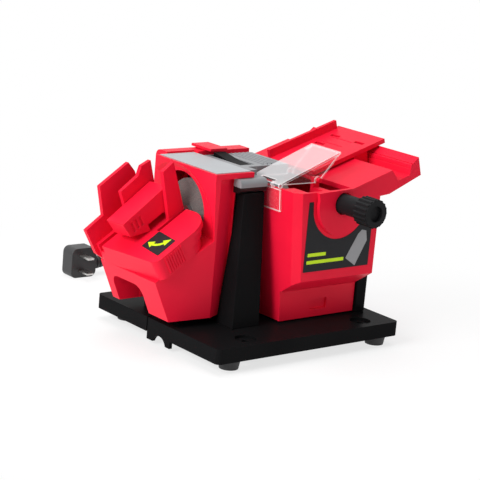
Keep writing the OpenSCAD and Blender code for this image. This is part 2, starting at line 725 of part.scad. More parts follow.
module knife_head() {
    deck_u = 27;
    low = on_lid(-lid_low - 1, -deck_drop);
    high = on_lid(deck_u, -deck_drop);
    cavity_x = head_x + 5.2;
    face_lean = atan((high[0] - head_x) / (head_top - high[1]));
    room_w = deck_drop + lid_pin_seat + 3;
    stand() color("#e0162f") difference() {
        union() {
            drawn_y(head_f, head_b, [[tower_x, head_z], [-nose_reach, head_z], low, high, [head_x, head_top],
                                     [tower_x, head_top]]);
            translate([tower_x - eps, head_f, head_top - lip_t])
                cube([lip_x - tower_x + eps, head_w, lip_t]);
        }
        // Room for the wheel, open towards the tower
        translate([0, 0, zt + 20]) linear_extrude(head_h - 20 - lip_t) wheel_room(cavity_x);
        intersection() {
            union() {
                translate([head_x - 8, shaft_y + window_back, shaft_z + window_up]) rotate([0, 90, 0])
                    cylinder(r = window_r, h = cavity_x - head_x + 10);
                translate([head_x, dish_c[0], head_top]) rotate([0, -face_lean, 0])
                    translate([-1, 0, dish_c[1] - head_top]) rotate([0, 90, 0])
                    cylinder(r1 = dish_r + dish_rim / dish_d, r2 = dish_r - dish_rim, h = dish_d + 1);
            }
            translate([head_x - 9, head_f, high[1] + 0.5]) cube([20, head_w, head_h]);
        }
        // Near side, drawn in towards the tower behind its widest place
        translate([0, 0, head_z - eps]) linear_extrude(head_top - lip_t - head_z + eps)
            polygon([[draw_x, head_f - eps], [tower_x + eps, head_f - eps],
                     [tower_x + eps, head_f + draw_in], [tower_x - rib_t, head_f + draw_in - rib_t],
                     [tower_x - rib_t, head_f + draw_in],
                     [draw_x, head_f]]);
        // Arch in the front and the room behind it
        translate([-40, arch_y, head_z]) rotate([90, 0, 90]) linear_extrude(40 + lever_t + 6)
            arch_outline(arch_w, arch_h, arch_r);
        drawn_y(head_f + 3 * head_wall, head_b - 3 * head_wall,
                [[cavity_x - 4, head_z - eps], [-nose_reach + 4, head_z - eps],
                 on_lid(-18, -room_w), on_lid(16, -room_w),
                 [cavity_x - 4, high[1] - 12]]);
        // Taper of the near side towards the front
        translate([draw_x, head_f, head_z - eps]) rotate([0, 0, -near_taper]) translate([-90, -10, 0])
            cube([90, 10, head_h - lip_t - head_gap]);
        // Seat of the lid's pin
        translate(lid_o) rotate([0, -deck_tilt, 0]) translate([0, 0, -deck_drop - lid_pin_seat])
            cylinder(r = lid_pin_r, h = lid_pin_seat + eps);
    }
}

rib_t = 3;
near_taper = 5;
lid_pin_seat = 9;
module lid_pin() {
    stand() color("silver") translate(lid_o) rotate([0, -deck_tilt, 0])
        translate([0, 0, -deck_drop - lid_pin_seat])
            cylinder(r = lid_pin_r - 0.01, h = lid_pin_seat + deck_drop - 3);
}

module head_label() {
    stand() color("#b4b8bd") translate([head_x + 2, head_f + 2, head_top])
        cube([lip_x - head_x - 3.5, head_w - 4, 0.6]);
}

// Outline of the lid, straight below and round above
module lid_outline(high) {
    r_low = 6;
    r_high = 20;
    h = lid_w / 2;
    translate([-lid_low + r_low, -h]) square([lid_low - r_low + high - r_high, lid_w]);
    translate([-lid_low, -h + r_low]) square([lid_low, lid_w - 2 * r_low]);
    translate([0, -h + r_high]) square([high, lid_w - 2 * r_high]);
    for (s = [-1, 1]) {
        translate([-lid_low + r_low, s * (h - r_low)]) circle(r = r_low);
        translate([high - r_high, s * (h - r_high)]) circle(r = r_high);
    }
}

// Guide fin on the lid, drawn in the lid's own plane
module fin(v, t, points) {
    translate([0, v + t, 0]) rotate([90, 0, 0]) linear_extrude(t) polygon(points);
}

fin_d_v = -4;
press_v = fin_d_v + fin_t + 0.4;
fin_b_v = press_v + press_w + 0.4;
grip_ribs = 8;
// Places the lid's own plane on the head, swung as it rests
module on_deck() {
    translate(lid_o) rotate([0, -deck_tilt, 0]) rotate([0, 0, lid_rest]) children();
}

// The lid's upper end steps back under its top, clear of the head's face
lid_steps = [[0, lid_high], [4, lid_high - 4], [9, lid_high - 7.5]];
wing = [[wing_low[0], -7], wing_low, [-10.6, 15], [-3.6, 36], [26.4, 37], [28.4, 28], [24.4, -3],
        [-17.6, -12], [-24.6, -15]];
press_wall = [[-0.6, -3], [1.4, 18], [3, 29.6], [21.4, 31], [27.4, 36], [36.4, 35], [26.4, -3]];
guide = [[16, -3], [28, 35], [39.5, 36], [32.6, 0], [31.8, -3]];
grip_pitch = 2.2;
module knife_lid() {
    stand() color("#e8203a") on_deck() difference() {
        union() {
            for (i = [0:2]) {
                low = i < 2 ? lid_steps[i + 1][0] : lid_t;
                translate([0, 0, -low]) linear_extrude(low - lid_steps[i][0] + (i > 0 ? 0.01 : 0))
                    lid_outline(lid_steps[i][1]);
            }
            // Far wing, wall behind the press bar and upright guide beside the wheel
            fin(lid_w / 2 - fin_t, fin_t, wing);
            fin(fin_b_v, fin_t, press_wall);
            fin(fin_d_v, fin_t, guide);
            for (s = [-1, 1], i = [0:grip_ribs - 1])
                translate([-lid_low + 8 + i * grip_pitch, s * lid_w / 2 - 0.8, -lid_t + 1.5])
                    cube([1.1, 1.6, lid_t - 3]);
        }
        // Blade slots beside the upright guide and beside the far wing
        translate([4, fin_d_v - 3.2, -6]) cube([lid_high, 3, 7]);
        translate([-lid_low - 1, fin_b_v + fin_t + 2.5, -6]) cube([lid_low + lid_high, 4, 7]);
        translate([0, 0, -lid_t - eps]) cylinder(r = lid_pin_r + run, h = lid_t - 2 + eps);
    }
}

press_bar = [[0.6, 0.4], [-15.4, 6.5], [-17.4, 19], [28.6, 22], [24.6, 0.4]];
module blade_press() {
    stand() color("#e8203a") on_deck() difference() {
        fin(press_v, press_w, press_bar);
        // Finger ribs and the hollow under the bar
        for (i = [0:2]) translate([-11 + 4 * i, press_v - eps, 8]) cube([2, 1.2 + eps, 8]);
        translate([2, press_v - eps, -eps]) cube([19, press_w - 4, 6]);
    }
}

journal_wall = 1.6;
pocket = [16, 1.8, 8];
module chisel_head() {
    f = chisel_y;
    w = chisel_wall;
    front_b = tower_f - 0.3;
    side = [[f, chisel_top], [f, zt + step_h], [f + step_in, zt + step_h - step_rise],
            [f + step_in, chisel_z],
            [chisel_b - 12, chisel_z], [chisel_b - 12, zt + step_h - step_rise], [chisel_b, zt + step_h],
            [chisel_b, chisel_top]];
    inner_l = chisel_x + w;
    stand() color("#e0162f") difference() {
        union() {
            intersection() {
                drawn_x(lean_x(chisel_top) - 1, chisel_r, side);
                union() {
                    drawn_y(f - 1, front_b, [[lean_x(chisel_z), chisel_z - 1], [chisel_r, chisel_z - 1],
                                             [chisel_r, chisel_top + 1],
                                             [lean_x(chisel_top + 1), chisel_top + 1]]);
                    translate([chisel_x, front_b - eps, chisel_z - 1])
                        cube([chisel_w, chisel_d, chisel_top - chisel_z + 2]);
                }
            }
            for (y = [[cheek_f + 0.2, f + eps], [chisel_b - eps, cheek_b + cheek_t - 0.2]])
                y_rod(pivot[0], pivot[2], y[0], y[1], journal_r - run);
        }
        // Inside, open at the top over the wheel and under the frame
        translate([inner_l, f + step_in + w, chisel_z + w])
            cube([chisel_w - 2 * w, chisel_d - step_in - 12 - 2 * w, chisel_h]);
        translate([inner_l, f + w, zt + step_h + 1]) cube([chisel_w - 2 * w, chisel_d - 2 * w, chisel_h]);
        translate([lean_x(chisel_top) + w + 1, f + 18, chisel_top - 18])
            cube([20, front_b - f - 18 - w, 30]);
        // Walls lowered under the frame's plate
        translate([pivot[0] + 4.5, f - 1, chisel_low_top]) cube([chisel_w, chisel_d + 2, 40]);
        // Hollow front journal, with the bolt's hole in its floor
        y_rod(pivot[0], pivot[2], cheek_f - eps, f, journal_r - journal_wall);
        y_rod(pivot[0], pivot[2], f - eps, f + w + eps, bolt_r + 0.02);
        // Shaft hole, front chamfer and the catch pocket
        shaft_rod(chisel_x - 10, inner_l + eps, flange_r + 1.5);
        rotate_chamfer();
        translate([chisel_x + 29, f + step_in - eps, zt + 7]) cube(pocket + [0, eps, 0]);
    }
}

// Cut along the leaning front left edge of the chisel head
module rotate_chamfer() {
    c = chisel_chamfer;
    translate([lean_x(chisel_z), chisel_y, chisel_z])
        rotate([0, -atan(chisel_lean), 0]) translate([0, 0, -20])
        linear_extrude(chisel_h + 60) polygon([[-c, -c], [2 * c, -c], [-c, 2 * c]]);
}

post = [10.5, chisel_d - step_in - 14, step_h + 6];
module right_post() {
    stand() color("#161618") translate([chisel_r + 0.4, chisel_y + step_in - 2, zt]) cube(post);
}

// Outline of the frame's section across its rail
frame_section = [[rail_p, -9], [frame_l, -rail_drop], [frame_l, 8.5], [69, 5], [66, groove_floor],
                 [54.3, groove_floor], [groove_p, frame_top], [plate_p, frame_top],
                 [plate_p, frame_top - frame_t],
                 [rail_p - 2, frame_top - frame_t]];
// A side plate of the frame: round about its pivot, with a raised back corner and a toe along the rail
module cheek(y, corner) {
    toe = [[35, -7.2], [rail_p, -9], [rail_p + 6, 0], [groove_p, frame_top]];
    difference() {
        drawn_y(y, y + cheek_t, concat([[plate_p, frame_top], corner],
                                       [for (a = [155:5:330]) cheek_r * [cos(a), sin(a)]], toe));
        y_rod(0, 0, y - eps, y + cheek_t + eps, journal_r);
    }
}

module tilt_frame() {
    stand() color("#e0162f") translate(pivot) rotate([0, -frame_tilt, 0]) difference() {
        union() {
            drawn_y(cheek_f, cheek_f + frame_d, frame_section);
            cheek(cheek_f, [-21.1, 16.1]);
            cheek(cheek_b, [-18.7, 24]);
        }
        // Ridges along the rail's back wall
        for (i = [0:1]) translate([67 + 2.6 * i, cheek_f - eps, 2.4 + 2.6 * i]) rotate([0, 45, 0])
            cube([1, frame_d + 2 * eps, 1]);
    }
}

slot = [3, 10];
slot_spots = [[40.5, 38.5], [57.5, 39], [57, 11]];
scale_p = [44, 54];
module carriage_table() {
    q = table_q;
    b = table_y + table_w;
    stand() color("#e8203a") translate(pivot) rotate([0, -frame_tilt, 0]) difference() {
        union() {
            translate([table_p, table_y, q]) cube([table_l, table_w, table_t]);
            translate([table_p, b - fence_t, q]) cube([table_l - 4, fence_t, table_t + fence_h]);
            drawn_y(table_y + 4, b - 4, [[54.3 + gap, groove_floor + gap], [66 - gap, groove_floor + gap],
                                         [66.5, 3],
                                         [66.5, q + 0.1], [52.6, q + 0.1], [52.6, 3.2]]);
            translate([table_p + 4, table_y + 4, frame_top + gap])
                cube([6, table_w - 8, q - frame_top - gap + 0.1]);
        }
        // Three slots for the tool clamp
        for (c = slot_spots) translate([table_p + c[0] - slot[0] / 2, table_y + c[1] - slot[1] / 2, q - eps])
            cube([slot[0], slot[1], table_t + 2 * eps]);
        // Scale lines
        for (p = scale_p) translate([table_p + p, table_y + 17, q + table_t - 0.4])
            cube([0.8, table_w * 0.45, 1]);
    }
}

knob_recess = 3;
flute_r = 1.2;
flute_in = 0.6;
bolt_f = reach_f + knob_recess + 1.5;
module clamp_bolt() {
    stand() color("#b0b2b5") {
        y_rod(pivot[0], pivot[2], bolt_f + 0.5, chisel_y + chisel_wall + 8, bolt_r);
        y_rod(pivot[0], pivot[2], chisel_y + chisel_wall, chisel_y + chisel_wall + 4, bolt_r + 2);
    }
}

module clamp_knob() {
    back = reach_f + knob_l;
    neck_b = chisel_y - 0.6;
    stand() color("#121212") difference() {
        union() {
            y_rod(pivot[0], pivot[2], reach_f, back, knob_r - 0.8);
            for (i = [0:knob_flutes - 1]) translate([pivot[0], 0, pivot[2]])
                rotate([0, i * 360 / knob_flutes, 0])
                y_rod(knob_r - flute_r, 0, reach_f + flute_in, back - flute_in, flute_r, $fn = 16);
            y_rod(pivot[0], pivot[2], back - eps, neck_b, neck_r);
        }
        y_rod(pivot[0], pivot[2], reach_f - eps, reach_f + knob_recess, knob_r * 0.55);
        y_rod(pivot[0], pivot[2], bolt_f, neck_b + eps, bolt_r + run);
    }
}

// The guard swings on the hinge at the top of the chisel head's left face
module wheel_guard() {
    y1 = guard_y + guard_w;
    lug = guard_w / 4;
    stand() color([0.85, 0.9, 0.95, 0.4]) translate([hinge[0], 0, hinge[2]]) difference() {
        union() {
            rotate([0, -guard_tilt, 0]) translate([0, guard_y, knuckle_r - guard_t])
                cube([guard_l, guard_w, guard_t]);
            for (y = [guard_y + 1, y1 - 1 - lug]) y_rod(0, 0, y, y + lug, knuckle_r);
            for (y = [guard_y, y1 - guard_t])
                drawn_y(y, y + guard_t, [[3, 0.6], [catch_u + 3, 0.2], [catch_u + 4, 4],
                                         [(guard_l - 1) * cos(guard_tilt), guard_l * sin(guard_tilt)],
                                         [3, 3 * tan(guard_tilt) + 1]]);
        }
        y_rod(0, 0, guard_y - eps, y1 + eps, hinge_pin_r + run);
        // Notch that drops over the catch pin
        y_rod(catch_u, 2.5, guard_y - eps, y1 + eps, catch_r + gap);
        translate([catch_u - catch_r - gap, guard_y - eps, -4])
            cube([2 * (catch_r + gap), guard_w + 2 * eps, 6.5]);
        // Middle of the hinge line, kept clear for the fixed leaf
        translate([-knuckle_r - 1, guard_y + 1 + lug, -knuckle_r - 1])
            cube([knuckle_r + 3.4, guard_w - 2 - 2 * lug, 2 * knuckle_r + 3]);
    }
}

module guard_leaf() {
    lug = guard_w / 4;
    lean = atan(chisel_lean);
    stand() color([0.85, 0.9, 0.95, 0.4]) difference() {
        union() {
            y_rod(hinge[0], hinge[2], guard_y + 1 + lug + gap, guard_y + guard_w - 1 - lug - gap, knuckle_r);
            translate([lean_x(chisel_top) - 0.1, 0, chisel_top]) rotate([0, -lean, 0])
                translate([-guard_t, guard_y + 1, -leaf_h])
                    cube([guard_t, min(guard_w - 2, tower_f - guard_y - 2), leaf_h - 0.4]);
            translate([hinge[0] - 1.2, guard_y + 1 + lug + gap, chisel_top - 1])
                cube([guard_t - 0.4, min(guard_w - 2 - 2 * lug - 2 * gap, 30), hinge[2] - chisel_top]);
        }
        y_rod(hinge[0], hinge[2], guard_y - eps, guard_y + guard_w + eps, hinge_pin_r);
    }
}

module guard_pin() {
    stand() color("silver")
        y_rod(hinge[0], hinge[2], guard_y + 1.5, guard_y + guard_w - 1.5, hinge_pin_r - 0.01);
}

// Bracket behind the front wall with the pin that the guard's notch drops over
module guard_catch() {
    x = hinge[0] + catch_u;
    z = hinge[2] + 2.5;
    back = guard_y + guard_t + gap;
    stand() color("#d8142c") {
        translate([x - 3, chisel_y + chisel_wall, chisel_top - 12])
            cube([6, back + 3 - chisel_y - chisel_wall, 11]);
        translate([x - 3, back, chisel_top - 12]) cube([6, 3, z - chisel_top + 12 + catch_r]);
        y_rod(x, z, guard_y - 2, back + 1, catch_r);
    }
}

// Ribbed tapering sleeve along Y with its wide end at the origin
module ribbed_relief(l, r_wide, r_thin, ribs) {
    pitch = l / (ribs + 0.5);
    rotate([-90, 0, 0]) {
        cylinder(r1 = r_wide - 0.9, r2 = r_thin - 0.3, h = l);
        for (i = [0:ribs - 1]) translate([0, 0, i * pitch])
            cylinder(r = r_wide - (r_wide - r_thin) * i / ribs, h = pitch * 0.6);
    }
}

module strain_relief() {
    stand() color("#141414") {
        translate(relief_o) ribbed_relief(relief_l, 5.2, cord_r + 0.7, 6);
        y_rod(relief_o[0], relief_o[2], base_d - base_wall, base_d + 1, relief_neck_r - 0.02);
    }
}

// Catmull-Rom curve through route points, with n steps between two of them
function spline_point(p, i, t) =
    let (a = p[max(i - 1, 0)], b = p[i], c = p[i + 1], d = p[min(i + 2, len(p) - 1)])
    0.5 * (2 * b + (c - a) * t + (2 * a - 5 * b + 4 * c - d) * t * t + (3 * b - a - 3 * c + d) * t * t * t);
function spline(p, n) = concat([for (i = [0:len(p) - 2], k = [0:n - 1]) spline_point(p, i, k / n)],
                               [p[len(p) - 1]]);

function unit(v) = v / norm(v);
function tangent(p, i) = unit(p[min(i + 1, len(p) - 1)] - p[max(i - 1, 0)]);

// Round tube swept along points, whose rings stand square to the path
module swept_tube(p, r, sides) {
    n = len(p);
    rings = [for (i = [0:n - 1])
        let (t = tangent(p, i), s = unit(cross([0, 0, 1], t)), u = cross(t, s))
        for (k = [0:sides - 1]) p[i] + r * (cos(k * 360 / sides) * s + sin(k * 360 / sides) * u)];
    sides_faces = [for (i = [0:n - 2], k = [0:sides - 1])
        let (a = i * sides + k, b = i * sides + (k + 1) % sides)
        each [[a, a + sides, b], [b, a + sides, b + sides]]];
    caps = [for (k = [1:sides - 2]) each [[0, k, k + 1],
            [(n - 1) * sides, (n - 1) * sides + k + 1, (n - 1) * sides + k]]];
    polyhedron(points = rings, faces = concat(sides_faces, caps));
}

// Middle line of the coil: in along the lower layer, up a layer in half a turn, out along the upper one
half_turn = 180;
lower_deg = coil_turns * 360;
coil_deg = lower_deg + half_turn + coil_out_turns * 360;
function coil_rad(a) = a < lower_deg ? coil_r - coil_pitch * a / 360
    : a < lower_deg + half_turn ? coil_in - coil_pitch * min(a - lower_deg, lower_deg + half_turn - a) / 360
    : coil_in + coil_pitch * (a - lower_deg - half_turn) / 360;
function coil_lift(a) = coil_pitch * min(max((a - lower_deg) / half_turn, 0), 1);
function coil_point(a) = [coil_c[0] + coil_rad(a) * cos(a), coil_c[1] + coil_rad(a) * sin(a),
                          coil_z + coil_lift(a)];
coil_steps = ceil(coil_deg / 360 * rings_per_loop);
coil_points = [for (i = [0:coil_steps]) coil_point(i * coil_deg / coil_steps)];
coil_line = concat([coil_points[0] - [0, cord_d, 0]], coil_points,
                   [coil_points[coil_steps] - [cord_d, 0, 0]]);
coil_self_gap = min([for (i = [0:coil_steps], j = [i + rings_per_loop / 2:1:coil_steps])
                     norm(coil_points[i] - coil_points[j])]) - cord_d;

module cord_lead() {
    echo(least_gap_in_coil = coil_self_gap);
    stand() color("#151515") swept_tube(spline(lead_line, 3), cord_r, lead_sides);
}
lead_line = concat(lead_route, [coil_line[0]]);
tail_line = concat([coil_line[len(coil_line) - 1]], tail_route);

module cord_coil() {
    stand() color("#151515") swept_tube(coil_line, cord_r, coil_sides);
}

module cord_tail() {
    stand() color("#151515") swept_tube(spline(tail_line, 3), cord_r, lead_sides);
}

tie_deg = 45;
module cord_tie() {
    w = 5;
    inner = coil_in - 1.2;
    outer = coil_r + cord_r + 1;
    high = coil_z + coil_pitch + cord_r + 0.4;
    stand() color("#2a2a2a") translate([coil_c[0], coil_c[1], 0]) rotate([0, 0, tie_deg]) difference() {
        translate([inner - cord_r, -w / 2, 0]) cube([outer - inner + cord_r, w, high + tie_t]);
        translate([inner - cord_r + tie_t, -w, tie_t])
            cube([outer - inner + cord_r - 2 * tie_t, 2 * w, high - tie_t]);
    }
}

module plug_relief() {
    stand() color("#161616") translate([plug_o[0] + plug[0], plug_end[1], plug_z]) rotate([0, 0, -90])
        ribbed_relief(plug_relief_l, 6, cord_r + 0.6, 5);
}

// Flat plug that stands on its edge, with its blades towards the front and the cord out of its side
module plug_body() {
    r = 5;
    stand() color("#181818") difference() {
        translate(plug_o + [0, plug[1], 0]) rotate([90, 0, 0]) round_plate(plug[0], plug[2], plug[1], r);
        for (z = blade_z) translate([blade_x, plug_o[1] - eps, z])
            cube([blade[0], blade_seat + eps, blade[2]]);
    }
}

blade = [6.3, 18, 1.5];
blade_pitch = 12.7;
blade_seat = 5;
blade_x = plug_o[0] + plug[0] / 2 - blade[0] / 2 - 2;
blade_z = [for (s = [-1, 1]) plug_o[2] + plug[2] / 2 + s * blade_pitch / 2 - blade[2] / 2];
module plug_blades() {
    stand() color("#c8b878") for (z = blade_z) translate([blade_x, plug_o[1] + blade_seat - blade[1], z])
        cube(blade);
}

base_plate();
base_cover();
base_feet();
foot_screws();
release_lever();
lever_pin();
motor_tower();
top_cap();
switch_body();
power_rocker();
rear_cover();
rear_screws();
wiring_board();
motor_can();
shaft_bearings();
motor_shaft();
motor_rotor();
knife_wheel();
chisel_wheel();
wheel_flanges();
wheel_nuts();
knife_head();
head_label();
knife_lid();
lid_pin();
blade_press();
chisel_head();
right_post();
tilt_frame();
carriage_table();
clamp_bolt();
clamp_knob();
wheel_guard();
guard_leaf();
guard_pin();
guard_catch();
strain_relief();
cord_lead();
cord_coil();
cord_tie();
cord_tail();
plug_relief();
plug_body();
plug_blades();
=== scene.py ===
"""Looks of a bench sharpener with a knife head, a chisel head and one motor tower."""

import logging
import math
from dataclasses import dataclass, field
from enum import Enum, IntEnum
from typing import Callable, Optional, Protocol, Sequence, Union

import bmesh
import bpy
from mathutils import Matrix, Vector


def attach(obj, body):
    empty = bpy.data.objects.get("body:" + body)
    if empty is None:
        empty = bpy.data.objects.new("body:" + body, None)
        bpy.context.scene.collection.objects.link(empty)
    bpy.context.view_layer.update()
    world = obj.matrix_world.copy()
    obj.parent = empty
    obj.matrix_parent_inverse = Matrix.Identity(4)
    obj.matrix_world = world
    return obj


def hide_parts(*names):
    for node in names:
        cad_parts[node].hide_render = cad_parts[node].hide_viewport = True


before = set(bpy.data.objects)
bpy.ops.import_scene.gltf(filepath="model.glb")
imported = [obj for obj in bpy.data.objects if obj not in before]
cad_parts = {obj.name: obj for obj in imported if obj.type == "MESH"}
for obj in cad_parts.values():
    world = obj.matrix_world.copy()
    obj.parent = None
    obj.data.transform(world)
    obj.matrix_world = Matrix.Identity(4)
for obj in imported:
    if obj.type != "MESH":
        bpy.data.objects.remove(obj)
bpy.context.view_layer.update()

LOG = logging.getLogger("sharpener")
MM = 0.001
ORIGIN_MM = Vector((77.573968, 74.575, 0.0))
BASE_TOP = 19.0
SHAFT_Y = 86.3
PIVOT_X = 116.5
PIVOT_Z = BASE_TOP + 92.5
LID_ORIGIN = Vector((-3.3, SHAFT_Y, BASE_TOP + 63.4))
LID_TILT = math.radians(30.0)
LID_REST = math.radians(4.0)
WELD = 1e-6
FLAT_ANGLE = math.radians(1.0)
MOULD_SMOOTH = 32.0
NOISE_MIDDLE = 0.5
FINE_DETAIL = 2.0
# Widths of the narrow faces that take a clear plate's painted edge highlight.
HIGHLIGHT_FACE_WIDTH = (1.3 * MM, 2.0 * MM)

Triple = tuple[float, float, float]
Colour = Triple
Point2 = tuple[float, float]
Value = Union["Sock", float]
Loop = Sequence[bmesh.types.BMVert]
Put = Callable[[float, float, float], Vector]


class Body(Enum):
    """Bodies that pieces ride on."""

    BASE = "base"
    SPINDLE = "spindle"
    LID = "lid"
    PRESS = "press"
    LEVER = "lever"
    FRAME = "frame"
    CARRIAGE = "carriage"
    GUARD = "guard"
    KNOB = "knob"
    ROCKER = "rocker"


class Slot(Enum):
    """Material slots of the record."""

    RED = "red_plastic"
    BLACK = "black_plastic"
    CAP = "silver_cap"
    STEEL = "steel"
    RUBBER = "rubber"
    STONE = "abrasive"
    CLEAR = "clear_plastic"


class Facets(IntEnum):
    """Facets across a rounded edge."""

    COARSE = 1
    PLAIN = 2
    FINE = 3
    ROUND = 4


class Holder(Enum):
    """What a node tree belongs to, with the type of its output node."""

    MATERIAL = "ShaderNodeOutputMaterial"
    WORLD = "ShaderNodeOutputWorld"


class Finish(Protocol):
    """A surface finish that can build its material."""

    @property
    def name(self) -> str:
        """Name of the material."""

    def material(self) -> bpy.types.Material:
        """Build the material."""


def row(x: float, y: float, z: float) -> Vector:
    """Turn working millimetres, as in the part's source, into metres of the row frame."""
    return (Vector((x, y, z)) - ORIGIN_MM) * MM


def shade(colour: Colour, factor: float, lift: float = 0.0) -> Colour:
    """Return a colour made darker or paler by a factor, and lifted."""
    red, green, blue = (min(1.0, c * factor + lift) for c in colour)
    return red, green, blue


class Sock:
    """One shader socket that takes part in Python arithmetic."""

    def __init__(self, shader: "Shader", socket: bpy.types.NodeSocket) -> None:
        """Keep the socket and the shader that it belongs to."""
        self.shader = shader
        self.socket = socket

    def _math(self, operation: str, first: Value, second: Value) -> "Sock":
        """Add one Math node and return its result."""
        return self.shader.node("ShaderNodeMath", {"operation": operation}, {0: first, 1: second})

    def __add__(self, other: Value) -> "Sock":
        """Add a value."""
        return self._math("ADD", self, other)

    def __radd__(self, other: Value) -> "Sock":
        """Add to a number."""
        return self._math("ADD", other, self)

    def __sub__(self, other: Value) -> "Sock":
        """Take a value away."""
        return self._math("SUBTRACT", self, other)

    def __rsub__(self, other: Value) -> "Sock":
        """Take this from a number."""
        return self._math("SUBTRACT", other, self)

    def __mul__(self, other: Value) -> "Sock":
        """Multiply by a value."""
        return self._math("MULTIPLY", self, other)

    def __rmul__(self, other: Value) -> "Sock":
        """Multiply a number."""
        return self._math("MULTIPLY", other, self)

    def __truediv__(self, other: Value) -> "Sock":
        """Divide by a value."""
        return self._math("DIVIDE", self, other)

    def __rtruediv__(self, other: Value) -> "Sock":
        """Divide a number."""
        return self._math("DIVIDE", other, self)

    def above(self, limit: Value) -> "Sock":
        """One where the value is over a limit, and nought elsewhere."""
        return self._math("GREATER_THAN", self, limit)

    def clamp(self) -> "Sock":
        """The value held between nought and one."""
        return self._math("MAXIMUM", self._math("MINIMUM", self, 1.0), 0.0)


class Shader:
    """Builds the node tree of one material, or of the world."""

    def __init__(self, name: str, holder: Holder = Holder.MATERIAL) -> None:
        """Make an empty node tree.

        Args:
            name: name of the material or world.
            holder: which of the two it is.
        """
        shelf = bpy.data.materials if holder is Holder.MATERIAL else bpy.data.worlds
        self.owner = shelf.new(name)
        self.owner.use_nodes = True
        self.tree = self.owner.node_tree
        self.tree.nodes.clear()
        self.output = self.tree.nodes.new(holder.value)

    def node(self, kind: str, settings: Optional[dict] = None, inputs: Optional[dict] = None,
             out: Union[int, str] = 0) -> Sock:
        """Add any node.

        Args:
            kind: the node's type.
            settings: properties that are set first.
            inputs: values or links by socket name or number.
            out: name or number of the output to return.

        Returns:
            The chosen output.
        """
        made = self.tree.nodes.new(kind)
        for key, value in (settings or {}).items():
            setattr(made, key, value)
        for key, value in (inputs or {}).items():
            socket = made.inputs[key]
            if isinstance(value, Sock):
                self.tree.links.new(value.socket, socket)
            elif isinstance(value, tuple) and socket.type == "RGBA":
                socket.default_value = (*value, 1.0)
            else:
                socket.default_value = value
        return Sock(self, made.outputs[out])

    def show(self, surface: Sock) -> None:
        """Put a shader on the surface."""
        self.tree.links.new(surface.socket, self.output.inputs["Surface"])

    def place(self) -> Sock:
        """Return object coordinates in metres."""
        return self.node("ShaderNodeTexCoord", out="Object")

    def height(self) -> Sock:
        """Return the height over the ground in metres."""
        return self.node("ShaderNodeSeparateXYZ", inputs={0: self.place()}, out="Z")

    def noise(self, scale: float, detail: float, stretch: Optional[Triple] = None) -> Sock:
        """Return noise over the surface.

        Args:
            scale: cells in a metre.
            detail: octaves.
            stretch: scale of each axis first, for brushed or drawn finishes.

        Returns:
            Noise from nought to one.
        """
        where = self.place()
        if stretch is not None:
            where = self.node("ShaderNodeVectorMath", {"operation": "MULTIPLY"}, {0: where, 1: stretch})
        return self.node("ShaderNodeTexNoise", {}, {"Vector": where, "Scale": scale, "Detail": detail}, "Fac")

    def mix(self, factor: Value, first: Union[Sock, Colour], second: Union[Sock, Colour]) -> Sock:
        """Mix two colours by a factor."""
        return self.node("ShaderNodeMix", {"data_type": "RGBA"}, {0: factor, 6: first, 7: second}, 2)

    def bump(self, height: Sock, strength: float, distance: float) -> Sock:
        """Return a normal that follows a height."""
        return self.node("ShaderNodeBump", {}, {"Height": height, "Strength": strength, "Distance": distance})

    def white_rays(self) -> Sock:
        """Return one for the rays that find a white background, and nought for those that light."""
        path = self.node("ShaderNodeLightPath").socket.node.outputs
        kinds = ("Camera", "Glossy", "Transmission")
        seen, gloss, through = (Sock(self, path[f"Is {kind} Ray"]) for kind in kinds)
        return (seen + gloss + through).clamp()

    def finish(self, **inputs: object) -> bpy.types.Material:
        """Add the Principled shader.

        Args:
            inputs: socket values, with underscores for spaces.

        Returns:
            The finished material.
        """
        sockets = {name.replace("_", " "): value for name, value in inputs.items()}
        self.show(self.node("ShaderNodeBsdfPrincipled", {}, sockets))
        return self.owner


@dataclass(frozen=True)
class MouldedPlastic:
    """Injection-moulded plastic with a fine grain, slight flow marks and scuffs."""

    name: str
    colour: Colour
    roughness: float = 0.36
    coat: float = 0.15
    grain: float = 0.05
    shine: float = 0.5
    coat_roughness: float = 0.22
    flow_scale: float = 24.0
    flow_detail: float = 4.0
    flow_dark: float = 0.86
    flow_pale: float = 1.06
    flow_lift: float = 0.004
    flow_share: float = 0.12
    flow_rise: float = 0.3
    grain_scale: float = 2600.0
    grain_depth: float = 0.0004
    scuff_scale: float = 180.0
    scuff_detail: float = 6.0
    scuff_stretch: Triple = (1.0, 1.0, 3.0)
    scuff_start: float = 0.62
    scuff_gain: float = 1.6
    scuff_share: float = 0.25

    def material(self) -> bpy.types.Material:
        """Build the material."""
        s = Shader(self.name)
        flow = s.noise(self.flow_scale, self.flow_detail)
        grain = s.noise(self.grain_scale, FINE_DETAIL)
        rubs = s.noise(self.scuff_scale, self.scuff_detail, self.scuff_stretch)
        scuff = (rubs - self.scuff_start).clamp() * self.scuff_gain
        darker = shade(self.colour, self.flow_dark)
        paler = shade(self.colour, self.flow_pale, self.flow_lift)
        rough = self.roughness + (flow - NOISE_MIDDLE) * self.flow_share + scuff * self.scuff_share
        return s.finish(Base_Color=s.mix(flow, darker, paler), Roughness=rough, Coat_Weight=self.coat,
                        Coat_Roughness=self.coat_roughness, Specular_IOR_Level=self.shine,
                        Normal=s.bump(grain + flow * self.flow_rise, self.grain, self.grain_depth))


